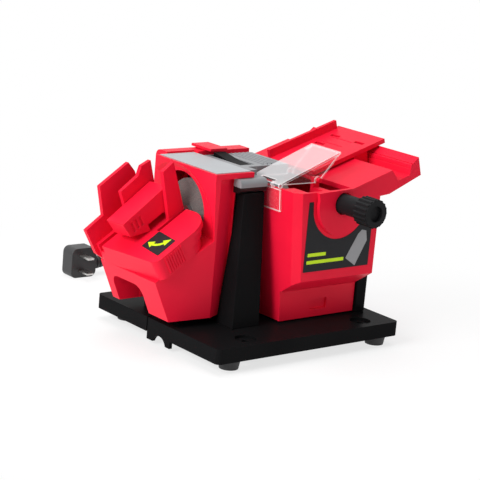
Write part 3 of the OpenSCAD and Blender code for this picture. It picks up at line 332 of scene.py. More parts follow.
@dataclass(frozen=True)
class TwoToneMoulding:
    """Satin grey moulding over a black skirt."""

    name: str
    colour: Colour = (0.2, 0.205, 0.215)
    skirt: Colour = (0.006, 0.006, 0.0065)
    skirt_top: float = (BASE_TOP + 101.5) * MM
    roughness: float = 0.34
    shine: float = 0.25
    cloud_scale: float = 30.0
    cloud_detail: float = 4.0
    cloud_pale: float = 1.25
    cloud_share: float = 0.14
    grain_scale: float = 2400.0
    grain: float = 0.06
    grain_depth: float = 0.0004

    def material(self) -> bpy.types.Material:
        """Build the material."""
        s = Shader(self.name)
        cloud = s.noise(self.cloud_scale, self.cloud_detail)
        grain = s.noise(self.grain_scale, FINE_DETAIL)
        over = s.height().above(self.skirt_top)
        grey = s.mix(cloud, self.colour, shade(self.colour, self.cloud_pale))
        return s.finish(Base_Color=s.mix(over, self.skirt, grey), Specular_IOR_Level=self.shine,
                        Roughness=self.roughness + (cloud - NOISE_MIDDLE) * self.cloud_share,
                        Normal=s.bump(grain, self.grain, self.grain_depth))


@dataclass(frozen=True)
class SoftRubber:
    """Matt rubber with a dusty bloom."""

    name: str
    colour: Colour = (0.017, 0.017, 0.018)
    roughness: float = 0.62
    bloom_scale: float = 60.0
    bloom_detail: float = 5.0
    bloom_pale: float = 1.9
    bloom_lift: float = 0.006
    bloom_share: float = 0.7
    bloom_rough: float = 0.2
    grain_scale: float = 1800.0
    grain: float = 0.08
    grain_depth: float = 0.0004

    def material(self) -> bpy.types.Material:
        """Build the material."""
        s = Shader(self.name)
        bloom = s.noise(self.bloom_scale, self.bloom_detail)
        grain = s.noise(self.grain_scale, FINE_DETAIL)
        dusty = shade(self.colour, self.bloom_pale, self.bloom_lift)
        return s.finish(Base_Color=s.mix(bloom * self.bloom_share, self.colour, dusty),
                        Roughness=self.roughness + (bloom - NOISE_MIDDLE) * self.bloom_rough,
                        Normal=s.bump(grain, self.grain, self.grain_depth))


@dataclass(frozen=True)
class WorkedMetal:
    """Bare metal with marks along one axis, as turned or brushed."""

    name: str
    colour: Colour = (0.52, 0.53, 0.55)
    roughness: float = 0.32
    along: Triple = (30.0, 30.0, 900.0)
    metallic: float = 1.0
    detail: float = 4.0
    mark_scale: float = 1.6
    mark_share: float = 0.24
    mark: float = 0.10
    mark_depth: float = 0.0003
    tarnish_scale: float = 45.0
    tarnish_dark: float = 0.72
    tarnish_share: float = 0.6

    def material(self) -> bpy.types.Material:
        """Build the material."""
        s = Shader(self.name)
        marks = s.noise(self.mark_scale, self.detail, self.along)
        tarnish = s.noise(self.tarnish_scale, self.detail)
        dull = shade(self.colour, self.tarnish_dark)
        return s.finish(Base_Color=s.mix(tarnish * self.tarnish_share, self.colour, dull),
                        Metallic=self.metallic,
                        Roughness=self.roughness + (marks - NOISE_MIDDLE) * self.mark_share,
                        Normal=s.bump(marks, self.mark, self.mark_depth))


@dataclass(frozen=True)
class GritStone:
    """Bonded abrasive: pale grains in a grey bond, with loaded dark patches."""

    name: str
    colour: Colour
    roughness: float = 0.85
    grain_scale: float = 1500.0
    grain_pale: float = 1.8
    grain_share: float = 1.4
    grain: float = 0.35
    grain_depth: float = 0.0005
    worn_scale: float = 70.0
    worn_detail: float = 4.0
    worn_start: float = 0.35
    worn_dark: float = 0.45
    worn_share: float = 1.3
    worn_rough: float = 0.1

    def material(self) -> bpy.types.Material:
        """Build the material."""
        s = Shader(self.name)
        cells = {"Vector": s.place(), "Scale": self.grain_scale}
        grains = s.node("ShaderNodeTexVoronoi", {}, cells, "Distance")
        worn = s.noise(self.worn_scale, self.worn_detail)
        loaded = (worn - self.worn_start).clamp() * self.worn_share
        bond = s.mix(loaded, self.colour, shade(self.colour, self.worn_dark))
        pale = shade(self.colour, self.grain_pale)
        return s.finish(Base_Color=s.mix((grains * self.grain_share).clamp(), pale, bond),
                        Roughness=self.roughness + (worn - NOISE_MIDDLE) * self.worn_rough,
                        Normal=s.bump(grains, self.grain, self.grain_depth))


@dataclass(frozen=True)
class ClearPlastic:
    """Clear moulded plastic, faintly grey, with fine scratches."""

    name: str
    tint: Colour = (0.93, 0.94, 0.96)
    alpha: float = 0.02
    roughness: float = 0.08
    shine: float = 0.6
    scratch_scale: float = 2.4
    scratch_stretch: Triple = (90.0, 700.0, 90.0)
    scratch_detail: float = 5.0
    scratch_start: float = 0.66
    scratch_share: float = 0.5
    scratch_rough: float = 0.3

    def material(self) -> bpy.types.Material:
        """Build the material."""
        s = Shader(self.name)
        scratch = s.noise(self.scratch_scale, self.scratch_detail, self.scratch_stretch)
        veil = self.alpha + (scratch - self.scratch_start).clamp() * self.scratch_share
        return s.finish(Base_Color=self.tint, Alpha=veil.clamp(), Specular_IOR_Level=self.shine,
                        Roughness=self.roughness + (scratch - NOISE_MIDDLE).clamp() * self.scratch_rough)


@dataclass(frozen=True)
class PrintedFilm:
    """Thin printed label film with a slight sheen and rubbed ink."""

    name: str
    colour: Colour
    roughness: float = 0.34
    shine: float = 0.12
    rub_scale: float = 220.0
    rub_detail: float = 5.0
    rub_pale: float = 1.25
    rub_lift: float = 0.006
    rub_share: float = 0.9
    rub: float = 0.03
    rub_depth: float = 0.0003
    cloud_scale: float = 34.0
    cloud_detail: float = 3.0
    cloud_share: float = 0.14

    def material(self) -> bpy.types.Material:
        """Build the material."""
        s = Shader(self.name)
        rubbed = s.noise(self.rub_scale, self.rub_detail)
        cloud = s.noise(self.cloud_scale, self.cloud_detail)
        paler = shade(self.colour, self.rub_pale, self.rub_lift)
        return s.finish(Base_Color=s.mix((rubbed - NOISE_MIDDLE).clamp() * self.rub_share, self.colour, paler),
                        Roughness=self.roughness + (cloud - NOISE_MIDDLE) * self.cloud_share,
                        Specular_IOR_Level=self.shine, Normal=s.bump(rubbed, self.rub, self.rub_depth))


@dataclass(frozen=True)
class Finishes:
    """All the finishes of the machine."""

    red: Finish = MouldedPlastic("red_moulding", (0.8, 0.006, 0.034), 0.4, 0.03, 0.05, 0.1)
    black: Finish = MouldedPlastic("black_moulding", (0.0045, 0.0045, 0.005), 0.36, 0.03, 0.05, 0.01)
    black_matt: Finish = MouldedPlastic("black_grip_moulding", (0.008, 0.008, 0.009), 0.46, 0.04, 0.1,
                                        0.06)
    rubber: Finish = SoftRubber("foot_rubber")
    cord: Finish = SoftRubber("cord_sheath", (0.014, 0.014, 0.015), 0.45)
    steel: Finish = WorkedMetal("turned_steel")
    cap: Finish = TwoToneMoulding("grey_cap_moulding")
    label: Finish = WorkedMetal("brushed_label", (0.46, 0.48, 0.5), 0.4, (18.0, 700.0, 18.0), 0.55)
    nickel: Finish = WorkedMetal("plug_nickel", (0.66, 0.65, 0.63), 0.28, (30.0, 900.0, 30.0))
    bronze: Finish = WorkedMetal("bearing_bronze", (0.5, 0.32, 0.14), 0.4)
    can: Finish = WorkedMetal("motor_can_steel", (0.3, 0.3, 0.31), 0.45)
    copper: Finish = WorkedMetal("rotor_copper", (0.6, 0.28, 0.14), 0.4)
    stone: Finish = GritStone("grey_grit", (0.1, 0.09, 0.086))
    fine_stone: Finish = GritStone("pale_grit", (0.2, 0.19, 0.18))
    clear: Finish = ClearPlastic("clear_leaf")
    # Painted sheen: a whiter, less clear veil that the guard's upward faces take.
    painted_sheen_top: Finish = ClearPlastic("clear_painted_sheen", alpha=0.42)
    # Painted highlight: a whiter, half-clear veil on the rounded edges and narrow faces of clear plates.
    painted_edge_highlight: Finish = ClearPlastic("painted_edge_highlight", (0.97, 0.97, 0.98), 0.5)
    board: Finish = MouldedPlastic("board_green", (0.02, 0.12, 0.05), 0.5)
    film: Finish = PrintedFilm("black_film", (0.016, 0.016, 0.018), 0.48)
    lime: Finish = PrintedFilm("lime_ink", (0.55, 0.78, 0.02))
    grey_ink: Finish = PrintedFilm("grey_ink", (0.3, 0.3, 0.31))


class Paint:
    """Hands out each finish's material once."""

    def __init__(self) -> None:
        """Start with no materials."""
        self.made: dict[str, bpy.types.Material] = {}

    def get(self, finish: Finish) -> bpy.types.Material:
        """Return a finish's material, made on first use."""
        if finish.name not in self.made:
            self.made[finish.name] = finish.material()
        return self.made[finish.name]


PAINT = Paint()
FINISH = Finishes()


def dress(piece: bpy.types.Object, finish: Finish) -> bpy.types.Object:
    """Give a piece one finish in place of its own materials."""
    piece.data.materials.clear()
    piece.data.materials.append(PAINT.get(finish))
    return piece


def link(name: str, data: bpy.types.ID) -> bpy.types.Object:
    """Put a mesh, curve, lamp or camera into the scene as an object."""
    thing = bpy.data.objects.new(name, data)
    bpy.context.scene.collection.objects.link(thing)
    return thing


def new_piece(name: str, bm: bmesh.types.BMesh, body: Body, finish: Finish,
              smooth: float = 30.0) -> bpy.types.Object:
    """Turn a bmesh into a piece that rides on a body.

    Args:
        name: name of the piece.
        bm: its shape, in metres of the row frame; it is freed.
        body: body that carries it.
        finish: its finish.
        smooth: edges sharper than this many degrees stay sharp.

    Returns:
        The new object.
    """
    bmesh.ops.recalc_face_normals(bm, faces=bm.faces)
    mesh = bpy.data.meshes.new(name)
    bm.to_mesh(mesh)
    bm.free()
    for polygon in mesh.polygons:
        polygon.use_smooth = True
    mesh.set_sharp_from_angle(angle=math.radians(smooth))
    piece = dress(link(name, mesh), finish)
    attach(piece, body.value)
    LOG.info("piece %s on %s", name, body.value)
    return piece


def moulded(node: str, body: Body, finish: Finish, round_mm: float, steps: Facets = Facets.PLAIN,
            crease: float = 28.0, edge: Optional[Finish] = None) -> bpy.types.Object:
    """Replace a CAD node by the same form with rounded edges, as a mould gives them.

    Args:
        node: name of the CAD node.
        body: body that carries it.
        finish: its finish.
        round_mm: width of the rounding.
        steps: facets across the rounding.
        crease: edges sharper than this many degrees are rounded.
        edge: finish of a clear plate's rounded outer edges and narrow faces, where it isn't the plate's own;
            there it paints the highlight that such edges catch.

    Returns:
        The piece that stands for the node.
    """
    bm = bmesh.new()
    bm.from_mesh(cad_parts[node].data)
    bmesh.ops.remove_doubles(bm, verts=bm.verts, dist=WELD)
    bmesh.ops.dissolve_limit(bm, angle_limit=FLAT_ANGLE, verts=bm.verts, edges=bm.edges)
    sharp = [e for e in bm.edges if e.is_manifold and e.calc_face_angle(0.0) > math.radians(crease)
             and (edge is None or e.is_convex)]
    rounding = bmesh.ops.bevel(bm, geom=sharp, offset=round_mm * MM, offset_type="OFFSET", segments=steps,
                               profile=0.5, affect="EDGES", clamp_overlap=edge is None, miter_outer="SHARP",
                               miter_inner="SHARP")
    edges = set(rounding["faces"])
    bmesh.ops.remove_doubles(bm, verts=bm.verts, dist=WELD)
    edges.update(f for f in bm.faces
                 if HIGHLIGHT_FACE_WIDTH[0] < 2.0 * f.calc_area() / f.calc_perimeter() < HIGHLIGHT_FACE_WIDTH[1])
    marks = [int(f in edges) for f in bm.faces]
    piece = new_piece(f"{node}_moulding", bm, body, finish, MOULD_SMOOTH)
    # The rounded edges and narrow faces of a clear plate take the edge finish, a painted highlight.
    if edge is not None:
        piece.data.materials.append(PAINT.get(edge))
        piece.data.polygons.foreach_set("material_index", marks)
    even = piece.modifiers.new("even_normals", "WEIGHTED_NORMAL")
    even.keep_sharp = True
    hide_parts(node)
    return piece


def dress_node(node: str, finish: Finish) -> bpy.types.Object:
    """Give a CAD node that stays in view its finish."""
    LOG.info("node %s dressed", node)
    return dress(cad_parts[node], finish)


def bridge(bm: bmesh.types.BMesh, one: Loop, two: Loop) -> None:
    """Join two loops of the same length with a band of faces."""
    for i in range(len(one)):
        j = (i + 1) % len(one)
        bm.faces.new((one[i], one[j], two[j], two[i]))


def lid_point(u: float, v: float, w: float) -> Vector:
    """Turn the lid's own millimetres into metres of the row frame."""
    along = u * math.cos(LID_REST) - v * math.sin(LID_REST)
    across = u * math.sin(LID_REST) + v * math.cos(LID_REST)
    x = LID_ORIGIN.x + along * math.cos(LID_TILT) - w * math.sin(LID_TILT)
    z = LID_ORIGIN.z + along * math.sin(LID_TILT) + w * math.cos(LID_TILT)
    return row(x, LID_ORIGIN.y + across, z)


def patch(name: str, outline: Sequence[Point2], lift: float, thick: float, put: Put, body: Body,
          finish: Finish) -> bpy.types.Object:
    """Make a thin flat film from an outline.

    Args:
        name: name of the piece.
        outline: corners in the patch's own plane, in millimetres.
        lift: height of its back over the surface.
        thick: its thickness.
        put: turns plane coordinates and a height into a place in the row frame.
        body: body that carries it.
        finish: its finish.

    Returns:
        The film.
    """
    bm = bmesh.new()
    low, high = ([bm.verts.new(put(a, b, h)) for a, b in outline] for h in (lift, lift + thick))
    bm.faces.new(low)
    bm.faces.new(high)
    bridge(bm, low, high)
    bmesh.ops.triangulate(bm, faces=[f for f in bm.faces if len(f.verts) > 4])
    return new_piece(name, bm, body, finish)


def rounded(points: Sequence[Point2], radius: float, steps: int = 5) -> list[Point2]:
    """Round the corners of a convex outline.

    Args:
        points: corners in order.
        radius: radius of the rounding.
        steps: points on each corner.

    Returns:
        The rounded outline.
    """
    result: list[Point2] = []
    count = len(points)
    for i, corner in enumerate(points):
        here = Vector(corner)
        before = (Vector(points[i - 1]) - here).normalized()
        after = (Vector(points[(i + 1) % count]) - here).normalized()
        reach = radius / math.tan(before.angle(after) / 2.0)
        start, end = here + before * reach, here + after * reach
        for k in range(steps + 1):
            t = k / steps
            spot = start * (1 - t) ** 2 + here * (2 * t * (1 - t)) + end * t ** 2
            result.append((spot.x, spot.y))
    return result


@dataclass(frozen=True)
class Lamp:
    """One soft square lamp: where it hangs, in metres, its edge and its watts."""

    name: str
    place: Triple
    size: float
    power: float
    aim: Triple = (0.0, 0.0, 0.07)

    def hang(self) -> None:
        """Hang the lamp so that it looks at the machine."""
        data = bpy.data.lights.new(self.name, "AREA")
        data.shape = "SQUARE"
        data.size = self.size
        data.energy = self.power
        place = Vector(self.place)
        turn = (Vector(self.aim) - place).to_track_quat("-Z", "Y").to_matrix().to_4x4()
        link(self.name, data).matrix_world = Matrix.Translation(place) @ turn


@dataclass
class Studio:
    """Floor, lamps and the camera at the photo's angle."""

    eye_mm: Vector = field(default_factory=lambda: Vector((-685.0, -832.6, 365.2)))
    right: Vector = field(default_factory=lambda: Vector((0.778, -0.622, 0.086)))
    forward: Vector = field(default_factory=lambda: Vector((0.622, 0.745, -0.240)))
    lens: float = 122.8
    sensor: float = 36.0
    clip_near: float = 0.01
    floor_half: float = 3.0
    floor_cells: int = 8
    paper_dark: Colour = (0.9, 0.9, 0.9)
    paper_pale: Colour = (0.93, 0.93, 0.93)
    paper_scale: float = 900.0
    paper_rough: float = 0.85
    white: Colour = (1.0, 1.0, 1.0)
    shade_near: float = 0.12
    shade_far: float = 0.34
    shade_lift: float = 0.72
    sky: float = 0.34
    lamps: tuple[Lamp, ...] = (Lamp("key_lamp", (-1.6, -0.1, 0.95), 0.9, 31.0),
                               Lamp("front_lamp", (0.5, -1.7, 0.7), 0.9, 2.0),
                               Lamp("top_lamp", (0.0, 0.3, 1.8), 1.2, 17.0))

    def camera(self) -> None:
        """Put the camera where the photo was taken from."""
        data = bpy.data.cameras.new("photo_camera")
        data.lens = self.lens
        data.sensor_width = self.sensor
        data.sensor_fit = "HORIZONTAL"
        data.clip_start = self.clip_near
        eye = link("photo_camera", data)
        ahead = self.forward.normalized()
        side = (self.right - ahead * self.right.dot(ahead)).normalized()
        up = side.cross(ahead)
        turn = Matrix((side, up, -ahead)).transposed().to_4x4()
        eye.matrix_world = Matrix.Translation(row(*self.eye_mm)) @ turn
        bpy.context.scene.camera = eye

    def floor(self) -> None:
        """Lay a pale floor that fades into the background."""
        bm = bmesh.new()
        cells = self.floor_cells
        bmesh.ops.create_grid(bm, x_segments=cells, y_segments=cells, size=self.floor_half)
        mesh = bpy.data.meshes.new("studio_floor")
        bm.to_mesh(mesh)
        bm.free()
        floor = link("studio_floor", mesh)
        s = Shader("studio_floor")
        speck = s.noise(self.paper_scale, FINE_DETAIL)
        paper = s.node("ShaderNodeBsdfPrincipled", {}, {
            "Base Color": s.mix(speck, self.paper_dark, self.paper_pale), "Roughness": self.paper_rough})
        white = s.node("ShaderNodeEmission", {}, {"Color": self.white, "Strength": 1.0})
        far = s.node("ShaderNodeVectorMath", {"operation": "LENGTH"}, {0: s.place()}, "Value")
        fade = ((far - self.shade_near) / (self.shade_far - self.shade_near)).clamp()
        share = s.white_rays() * (self.shade_lift + fade * (1.0 - self.shade_lift))
        s.show(s.node("ShaderNodeMixShader", {}, {0: share, 1: paper, 2: white}))
        floor.data.materials.append(s.owner)

    def world(self) -> None:
        """Light the surroundings plainly and keep them white in view and in reflections."""
        s = Shader("studio", Holder.WORLD)
        dim, bright = (s.node("ShaderNodeBackground", {}, {"Color": self.white, "Strength": strength})
                       for strength in (self.sky, 1.0))
        s.show(s.node("ShaderNodeMixShader", {}, {0: s.white_rays(), 1: dim, 2: bright}))
        bpy.context.scene.world = s.owner

    def build(self) -> None:
        """Set the whole stage."""
        bpy.context.scene.view_settings.view_transform = "Standard"
        self.camera()
        self.floor()
        self.world()
        for lamp in self.lamps:
            lamp.hang()


@dataclass
class MainsCord:
    """Cord from the rear relief through a tied coil to the plug. Route as in the part's source."""

    diameter: float = 5.8
    coil_radius: float = 41.0
    turns: float = 2.5
    gap: float = 0.6
    coil_x: float = 125.0
    coil_y: float = 221.0
    tie: float = 0.6
    tie_play: float = 0.1
    base_back: float = 150.0
    relief: float = 20.0
    relief_z: float = 13.5
    plug_end_x: float = 82.0
    plug_y: float = 254.0
    rings: int = 24
    curve_steps: int = 5
    lead_high: tuple[Point2, ...] = ((0.0, 0.0), (8.0, -0.8), (18.0, -4.8))
    lead_low: tuple[Point2, ...] = ((28.0, 1.6), (36.0, 0.0), (41.0, 0.0))
    tail_start: tuple[float, ...] = (-8.5, -11.5)
    tail_bend: tuple[Point2, ...] = ((106.0, 258.8), (98.0, 255.6))
    tail_end: tuple[float, ...] = (8.0, 4.0, 0.0)
    tie_edge: float = 0.2
    plug_edge: float = 1.2
    blade_edge: float = 0.25

    def coil(self) -> list[Vector]:
        """Return the coil's middle line, straight for one diameter at both ends."""
        pitch = self.diameter + self.gap
        low = self.diameter / 2 + self.tie + self.tie_play
        inner = self.coil_radius - pitch * self.turns
        lower = self.turns * 360.0
        total = lower + 180.0 + (self.turns - 0.25) * 360.0
        steps = math.ceil(total / 360.0 * self.rings)
        line: list[Vector] = []
        for i in range(steps + 1):
            a = i * total / steps
            if a < lower:
                radius = self.coil_radius - pitch * a / 360.0
            elif a < lower + 180.0:
                radius = inner - pitch * min(a - lower, lower + 180.0 - a) / 360.0
            else:
                radius = inner + pitch * (a - lower - 180.0) / 360.0
            lift = pitch * min(max((a - lower) / 180.0, 0.0), 1.0)
            turn = math.radians(a)
            line.append(Vector((self.coil_x + radius * math.cos(turn), self.coil_y + radius * math.sin(turn),
                                low + lift)))
        start = line[0] - Vector((0.0, self.diameter, 0.0))
        end = line[-1] - Vector((self.diameter, 0.0, 0.0))
        return [start, *line, end]

    def spline(self, points: Sequence[Vector]) -> list[Vector]:
        """Return a smooth curve through points."""
        result: list[Vector] = []
        for i in range(len(points) - 1):
            a, b = points[max(i - 1, 0)], points[i]
            c, d = points[i + 1], points[min(i + 2, len(points) - 1)]
            for k in range(self.curve_steps):
                t = k / self.curve_steps
                result.append(0.5 * (2 * b + (c - a) * t + (2 * a - 5 * b + 4 * c - d) * t * t
                                     + (3 * b - a - 3 * c + d) * t ** 3))
        result.append(points[-1].copy())
        return result

    def line(self) -> list[Vector]:
        """Return the whole cord's middle line, in working millimetres."""
        coil = self.coil()
        low = coil[0].z
        x = self.coil_x + self.coil_radius
        out = Vector((x, self.base_back + self.relief, self.relief_z))
        lead = [out + Vector((0.0, y, z)) for y, z in self.lead_high]
        lead += [Vector((x, out.y + y, low + z)) for y, z in self.lead_low]
        end = coil[-2]
        plug = Vector((self.plug_end_x, self.plug_y, end.z))
        tail = [end + Vector((d, 0.0, 0.0)) for d in self.tail_start]
        tail += [Vector((a, b, end.z)) for a, b in self.tail_bend]
        tail += [plug + Vector((d, 0.0, 0.0)) for d in self.tail_end]
        return self.spline([*lead, coil[0]])[:-1] + coil + self.spline([coil[-1], *tail])[1:]

    def build(self) -> None:
        """Lay the cord and dress its plug, reliefs and tie."""
        points = [row(*p) for p in self.line()]
        data = bpy.data.curves.new("mains_cord", "CURVE")
        data.dimensions = "3D"
        data.bevel_depth = self.diameter / 2 * MM
        data.bevel_resolution = 4
        data.use_fill_caps = True
        strand = data.splines.new("POLY")
        strand.points.add(len(points) - 1)
        for spot, place in zip(strand.points, points):
            spot.co = (*place, 1.0)
        strand.use_smooth = True
        cord = link("mains_cord", data)
        data.materials.append(PAINT.get(FINISH.cord))
        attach(cord, "base")
        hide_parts("cord_lead", "cord_coil", "cord_tail")
        tie = moulded("cord_tie", Body.BASE, FINISH.black_matt, self.tie_edge, Facets.COARSE)
        plug = moulded("plug_body", Body.BASE, FINISH.cord, self.plug_edge, Facets.FINE)
        sleeve = dress_node("plug_relief", FINISH.cord)
        blades = moulded("plug_blades", Body.BASE, FINISH.nickel, self.blade_edge)
        dress_node("strain_relief", FINISH.cord)


@dataclass
class BaseUnit:
    """Base plate with its cover, feet, screws and release lever."""

    plate_edge: float = 0.8
    lever_edge: float = 0.7

    def build(self) -> None:
        """Dress the base's pieces."""
        moulded("base_plate", Body.BASE, FINISH.black, self.plate_edge, Facets.FINE)
        moulded("release_lever", Body.LEVER, FINISH.black, self.lever_edge, Facets.FINE)
        dress_node("base_cover", FINISH.black_matt)
        dress_node("base_feet", FINISH.rubber)
        dress_node("foot_screws", FINISH.steel)
        dress_node("lever_pin", FINISH.steel)


@dataclass
class MotorTower:
    """Tower with its cap, switch, rear cover and what is inside."""

    tower_edge: float = 2.5
    cap_edge: float = 0.5
    cover_edge: float = 0.8
    post_edge: float = 1.0
    rocker_edge: float = 0.4
    ridge_x: tuple[float, ...] = (87.0, 91.0, 95.0, 99.0, 103.0)
    ridge_y: Point2 = (73.0, 112.0)
    ridge_half: float = 0.7
    ridge_crest: float = 0.6
    ridge_rise: float = 0.6
    ridge_root: float = -0.2
    cap_top: float = BASE_TOP + 111.0

    def ridges(self) -> None:
        """Lay raised ridges along the cap's right part."""
        bm = bmesh.new()
        crest = self.ridge_half * self.ridge_crest
        for x in self.ridge_x:
            section = ((x - self.ridge_half, self.ridge_root), (x - crest, self.ridge_rise),
                       (x + crest, self.ridge_rise), (x + self.ridge_half, self.ridge_root))
            near, far = ([bm.verts.new(row(a, y, self.cap_top + h)) for a, h in section]
                         for y in self.ridge_y)
            bm.faces.new(near)
            bm.faces.new(far)
            bridge(bm, near, far)
        new_piece("cap_ridges", bm, Body.BASE, FINISH.cap)

    def build(self) -> None:
        """Dress the tower's pieces."""
        moulded("motor_tower", Body.BASE, FINISH.black, self.tower_edge, Facets.ROUND)
        moulded("top_cap", Body.BASE, FINISH.cap, self.cap_edge)
        self.ridges()
        moulded("rear_cover", Body.BASE, FINISH.red, self.cover_edge, Facets.FINE)
        moulded("right_post", Body.BASE, FINISH.black, self.post_edge, Facets.FINE)
        moulded("power_rocker", Body.ROCKER, FINISH.black, self.rocker_edge)
        dress_node("switch_body", FINISH.black_matt)
        dress_node("rear_screws", FINISH.steel)
        dress_node("wiring_board", FINISH.board)
        dress_node("motor_can", FINISH.can)
        dress_node("shaft_bearings", FINISH.bronze)


@dataclass
class Drive:
    """Shaft, rotor and both wheels."""

    wheel_edge: float = 0.6

    def build(self) -> None:
        """Dress the spinning pieces."""
        moulded("knife_wheel", Body.SPINDLE, FINISH.stone, self.wheel_edge)
        moulded("chisel_wheel", Body.SPINDLE, FINISH.fine_stone, self.wheel_edge)
        dress_node("motor_shaft", FINISH.steel)
        dress_node("motor_rotor", FINISH.copper)
        dress_node("wheel_flanges", FINISH.steel)
        dress_node("wheel_nuts", FINISH.steel)


@dataclass
class KnifeHead:
    """Red head on the left with its label plate."""

    head_edge: float = 1.0
    head_crease: float = 18.0

    def build(self) -> None:
        """Dress the head."""
        moulded("knife_head", Body.BASE, FINISH.red, self.head_edge, Facets.FINE, self.head_crease)
        dress_node("head_label", FINISH.label)
        dress_node("lid_pin", FINISH.steel)


@dataclass
class KnifeLid:
    """Swinging lid with its fins, press bar and arrow patch."""

    lid_edge: float = 0.6
    film_middle: Point2 = (-7.3, -18.9)
    film_size: Point2 = (18.1, 22.3)
    film_shear: float = 0.18
    film_corner: float = 1.0
    film_lift: float = 0.02
    film: float = 0.25
    ink: float = 0.08
    arrow_along: Point2 = (0.48, -0.877)
    arrow_half: float = 9.35
    arrow_bulge: float = 4.6
    arrow_level: float = 0.4
    arrow_shaft: float = 1.2
    arrow_head: float = 3.4
    arrow_neck: float = 0.48
    arrow_steps: int = 10

    def film_outline(self) -> list[Point2]:
        """Return the patch's outline, leaning as on the machine."""
        (u, v), (wide, long) = self.film_middle, self.film_size
        corners = ((-0.5, -0.5), (0.5, -0.5), (0.5, 0.5), (-0.5, 0.5))
        outline = [(u + a * wide + self.film_shear * b * long, v + b * long) for a, b in corners]
        return rounded(outline, self.film_corner)

    def arrow_point(self, share: float, off: float) -> Point2:
        """Return a point on the arrow.

        Args:
            share: place along the arrow, from -1 to 1.
            off: distance from the arrow's middle line.

        Returns:
            The point in the lid's plane.
        """
        along = Vector(self.arrow_along)
        across = Vector((-along.y, along.x))
        spot = Vector(self.film_middle) + along * (self.arrow_half * share)
        spot += across * (self.arrow_bulge * (share * share - self.arrow_level))
        slope = (along * self.arrow_half + across * (2 * self.arrow_bulge * share)).normalized()
        return spot.x - slope.y * off, spot.y + slope.x * off

    def arrow(self) -> list[Point2]:
        """Return the outline of a curved arrow with a head at both ends."""
        neck, head, shaft = self.arrow_neck, self.arrow_head, self.arrow_shaft
        places = [neck * (2 * k / self.arrow_steps - 1) for k in range(self.arrow_steps + 1)]
        outline = [(t, shaft) for t in places]
        outline += [(neck, head), (1.0, 0.0), (neck, -head)]
        outline += [(t, -shaft) for t in reversed(places)]
        outline += [(-neck, -head), (-1.0, 0.0), (-neck, head)]
        return [self.arrow_point(share, off) for share, off in outline]

    def build(self) -> None:
        """Dress the lid and lay its patch."""
        moulded("knife_lid", Body.LID, FINISH.red, self.lid_edge)
        moulded("blade_press", Body.PRESS, FINISH.red, self.lid_edge)
        patch("lid_film", self.film_outline(), self.film_lift, self.film, lid_point, Body.LID, FINISH.film)
        patch("lid_arrow", self.arrow(), self.film_lift + self.film, self.ink, lid_point, Body.LID,
              FINISH.lime)


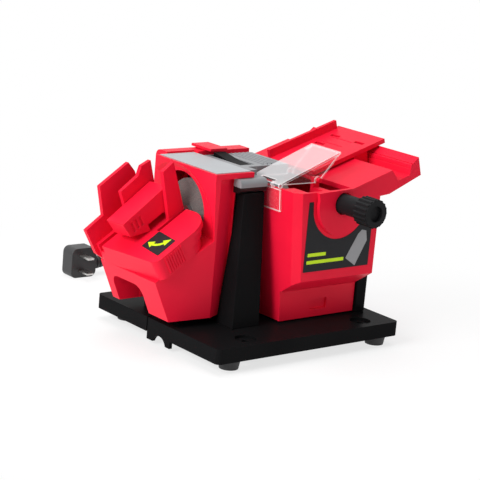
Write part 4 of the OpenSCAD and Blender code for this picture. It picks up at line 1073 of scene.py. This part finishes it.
@dataclass
class ChiselHead:
    """Red head on the right with its front film, guard leaf and clamp bolt."""

    head_edge: float = 0.7
    catch_edge: float = 0.3
    leaf_edge: float = 0.5
    front: float = 16.5
    film_lift: float = 0.01
    film: float = 0.25
    ink: float = 0.05
    left: float = 85.5
    right: float = 149.5
    low: float = BASE_TOP + 42.6
    high: float = BASE_TOP + 95.0
    right_high: float = 32.0
    arc: float = 27.0
    arc_start: float = 0.997
    arc_end: float = 0.88
    columns: int = 64
    blade_at: Point2 = (133.0, BASE_TOP + 53.0)
    blade: tuple[Point2, ...] = ((-7.0, -3.0), (3.0, -9.5), (13.0, 9.0), (11.5, 16.5), (7.0, 17.5),
                                 (3.5, 14.5))
    bars: tuple[Point2, ...] = ((88.5, 106.0), (88.0, 124.0))
    bar_low: float = BASE_TOP + 54.0
    bar_pitch: float = 5.5
    bar_high: float = 2.6
    bar_corner: float = 0.5

    def arc_low(self, x: float) -> float:
        """Return the height of the frame cheek's round edge."""
        return PIVOT_Z - math.sqrt(self.arc ** 2 - (x - PIVOT_X) ** 2)

    def film_top(self, x: float) -> float:
        """Return the height of the film's upper edge, with its round bay under the frame's cheek."""
        end = PIVOT_X + self.arc_end * self.arc
        if x < PIVOT_X - self.arc_start * self.arc:
            return self.high
        if x < end:
            return self.arc_low(x)
        at_end = self.arc_low(end)
        return at_end + (self.low + self.right_high - at_end) * (x - end) / (self.right - end)

    def on_front(self, a: float, b: float, h: float) -> Vector:
        """Place a patch point on the head's front face."""
        return row(a, self.front - h, b)

    def film_sheet(self) -> None:
        """Lay the film as upright strips, so that its round bay stays clean."""
        bm = bmesh.new()
        back, face = self.film_lift, self.film_lift + self.film
        rows: list[tuple[bmesh.types.BMVert, ...]] = []
        for k in range(self.columns + 1):
            x = self.left + (self.right - self.left) * k / self.columns
            top = self.film_top(x)
            spots = ((self.low, back), (top, back), (top, face), (self.low, face))
            rows.append(tuple(bm.verts.new(self.on_front(x, z, h)) for z, h in spots))
        for one, two in zip(rows, rows[1:]):
            bridge(bm, one, two)
        bm.faces.new(rows[0])
        bm.faces.new(rows[-1])
        new_piece("front_film", bm, Body.BASE, FINISH.film)

    def prints(self) -> None:
        """Lay the blade shape and the two bars on the film."""
        lift = self.film_lift + self.film
        x, z = self.blade_at
        blade = [(x + a, z + b) for a, b in self.blade]
        patch("front_blade_print", blade, lift, self.ink, self.on_front, Body.BASE, FINISH.grey_ink)
        for i, (start, end) in enumerate(self.bars):
            low = self.bar_low - self.bar_pitch * i
            high = low + self.bar_high
            bar = rounded([(start, low), (end, low), (end, high), (start, high)], self.bar_corner)
            patch(f"front_bar_{i}", bar, lift, self.ink, self.on_front, Body.BASE, FINISH.lime)

    def build(self) -> None:
        """Dress the head and lay its film."""
        moulded("chisel_head", Body.BASE, FINISH.red, self.head_edge, Facets.FINE)
        moulded("guard_catch", Body.BASE, FINISH.red, self.catch_edge)
        # The leaf's edges take the painted highlight.
        moulded("guard_leaf", Body.BASE, FINISH.clear, self.leaf_edge, edge=FINISH.painted_edge_highlight)
        dress_node("guard_pin", FINISH.steel)
        dress_node("clamp_bolt", FINISH.steel)
        self.film_sheet()
        self.prints()


@dataclass
class TiltTable:
    """Tilting frame, sliding carriage and the clamp knob."""

    frame_edge: float = 0.6
    carriage_edge: float = 0.5
    knob_edge: float = 0.3

    def build(self) -> None:
        """Dress the table's pieces."""
        moulded("tilt_frame", Body.FRAME, FINISH.red, self.frame_edge)
        moulded("carriage_table", Body.CARRIAGE, FINISH.red, self.carriage_edge)
        moulded("clamp_knob", Body.KNOB, FINISH.black_matt, self.knob_edge)


@dataclass
class WheelGuard:
    """Clear guard over the chisel wheel."""

    guard_edge: float = 0.55
    upward: float = 0.5

    def build(self) -> None:
        """Dress the guard, with a painted sheen on its upper faces: a whiter, less clear veil where the faces
        point up.
        """
        # The guard's edges take the painted highlight.
        guard = moulded("wheel_guard", Body.GUARD, FINISH.clear, self.guard_edge,
                        edge=FINISH.painted_edge_highlight)
        # Upward faces take the painted sheen, a whiter, less clear veil.
        sheen = len(guard.data.materials)
        guard.data.materials.append(PAINT.get(FINISH.painted_sheen_top))
        for face in guard.data.polygons:
            if face.material_index == 0 and face.normal.z > self.upward:
                face.material_index = sheen


def main() -> None:
    """Build every sub-assembly in order."""
    logging.basicConfig(level=logging.INFO, format="%(name)s: %(message)s")
    Studio().build()
    MainsCord().build()
    for unit in (BaseUnit(), MotorTower(), Drive(), KnifeHead(), KnifeLid(), ChiselHead(), TiltTable(),
                 WheelGuard()):
        unit.build()
        LOG.info("%s done", type(unit).__name__)


if __name__ == "__main__":
    main()
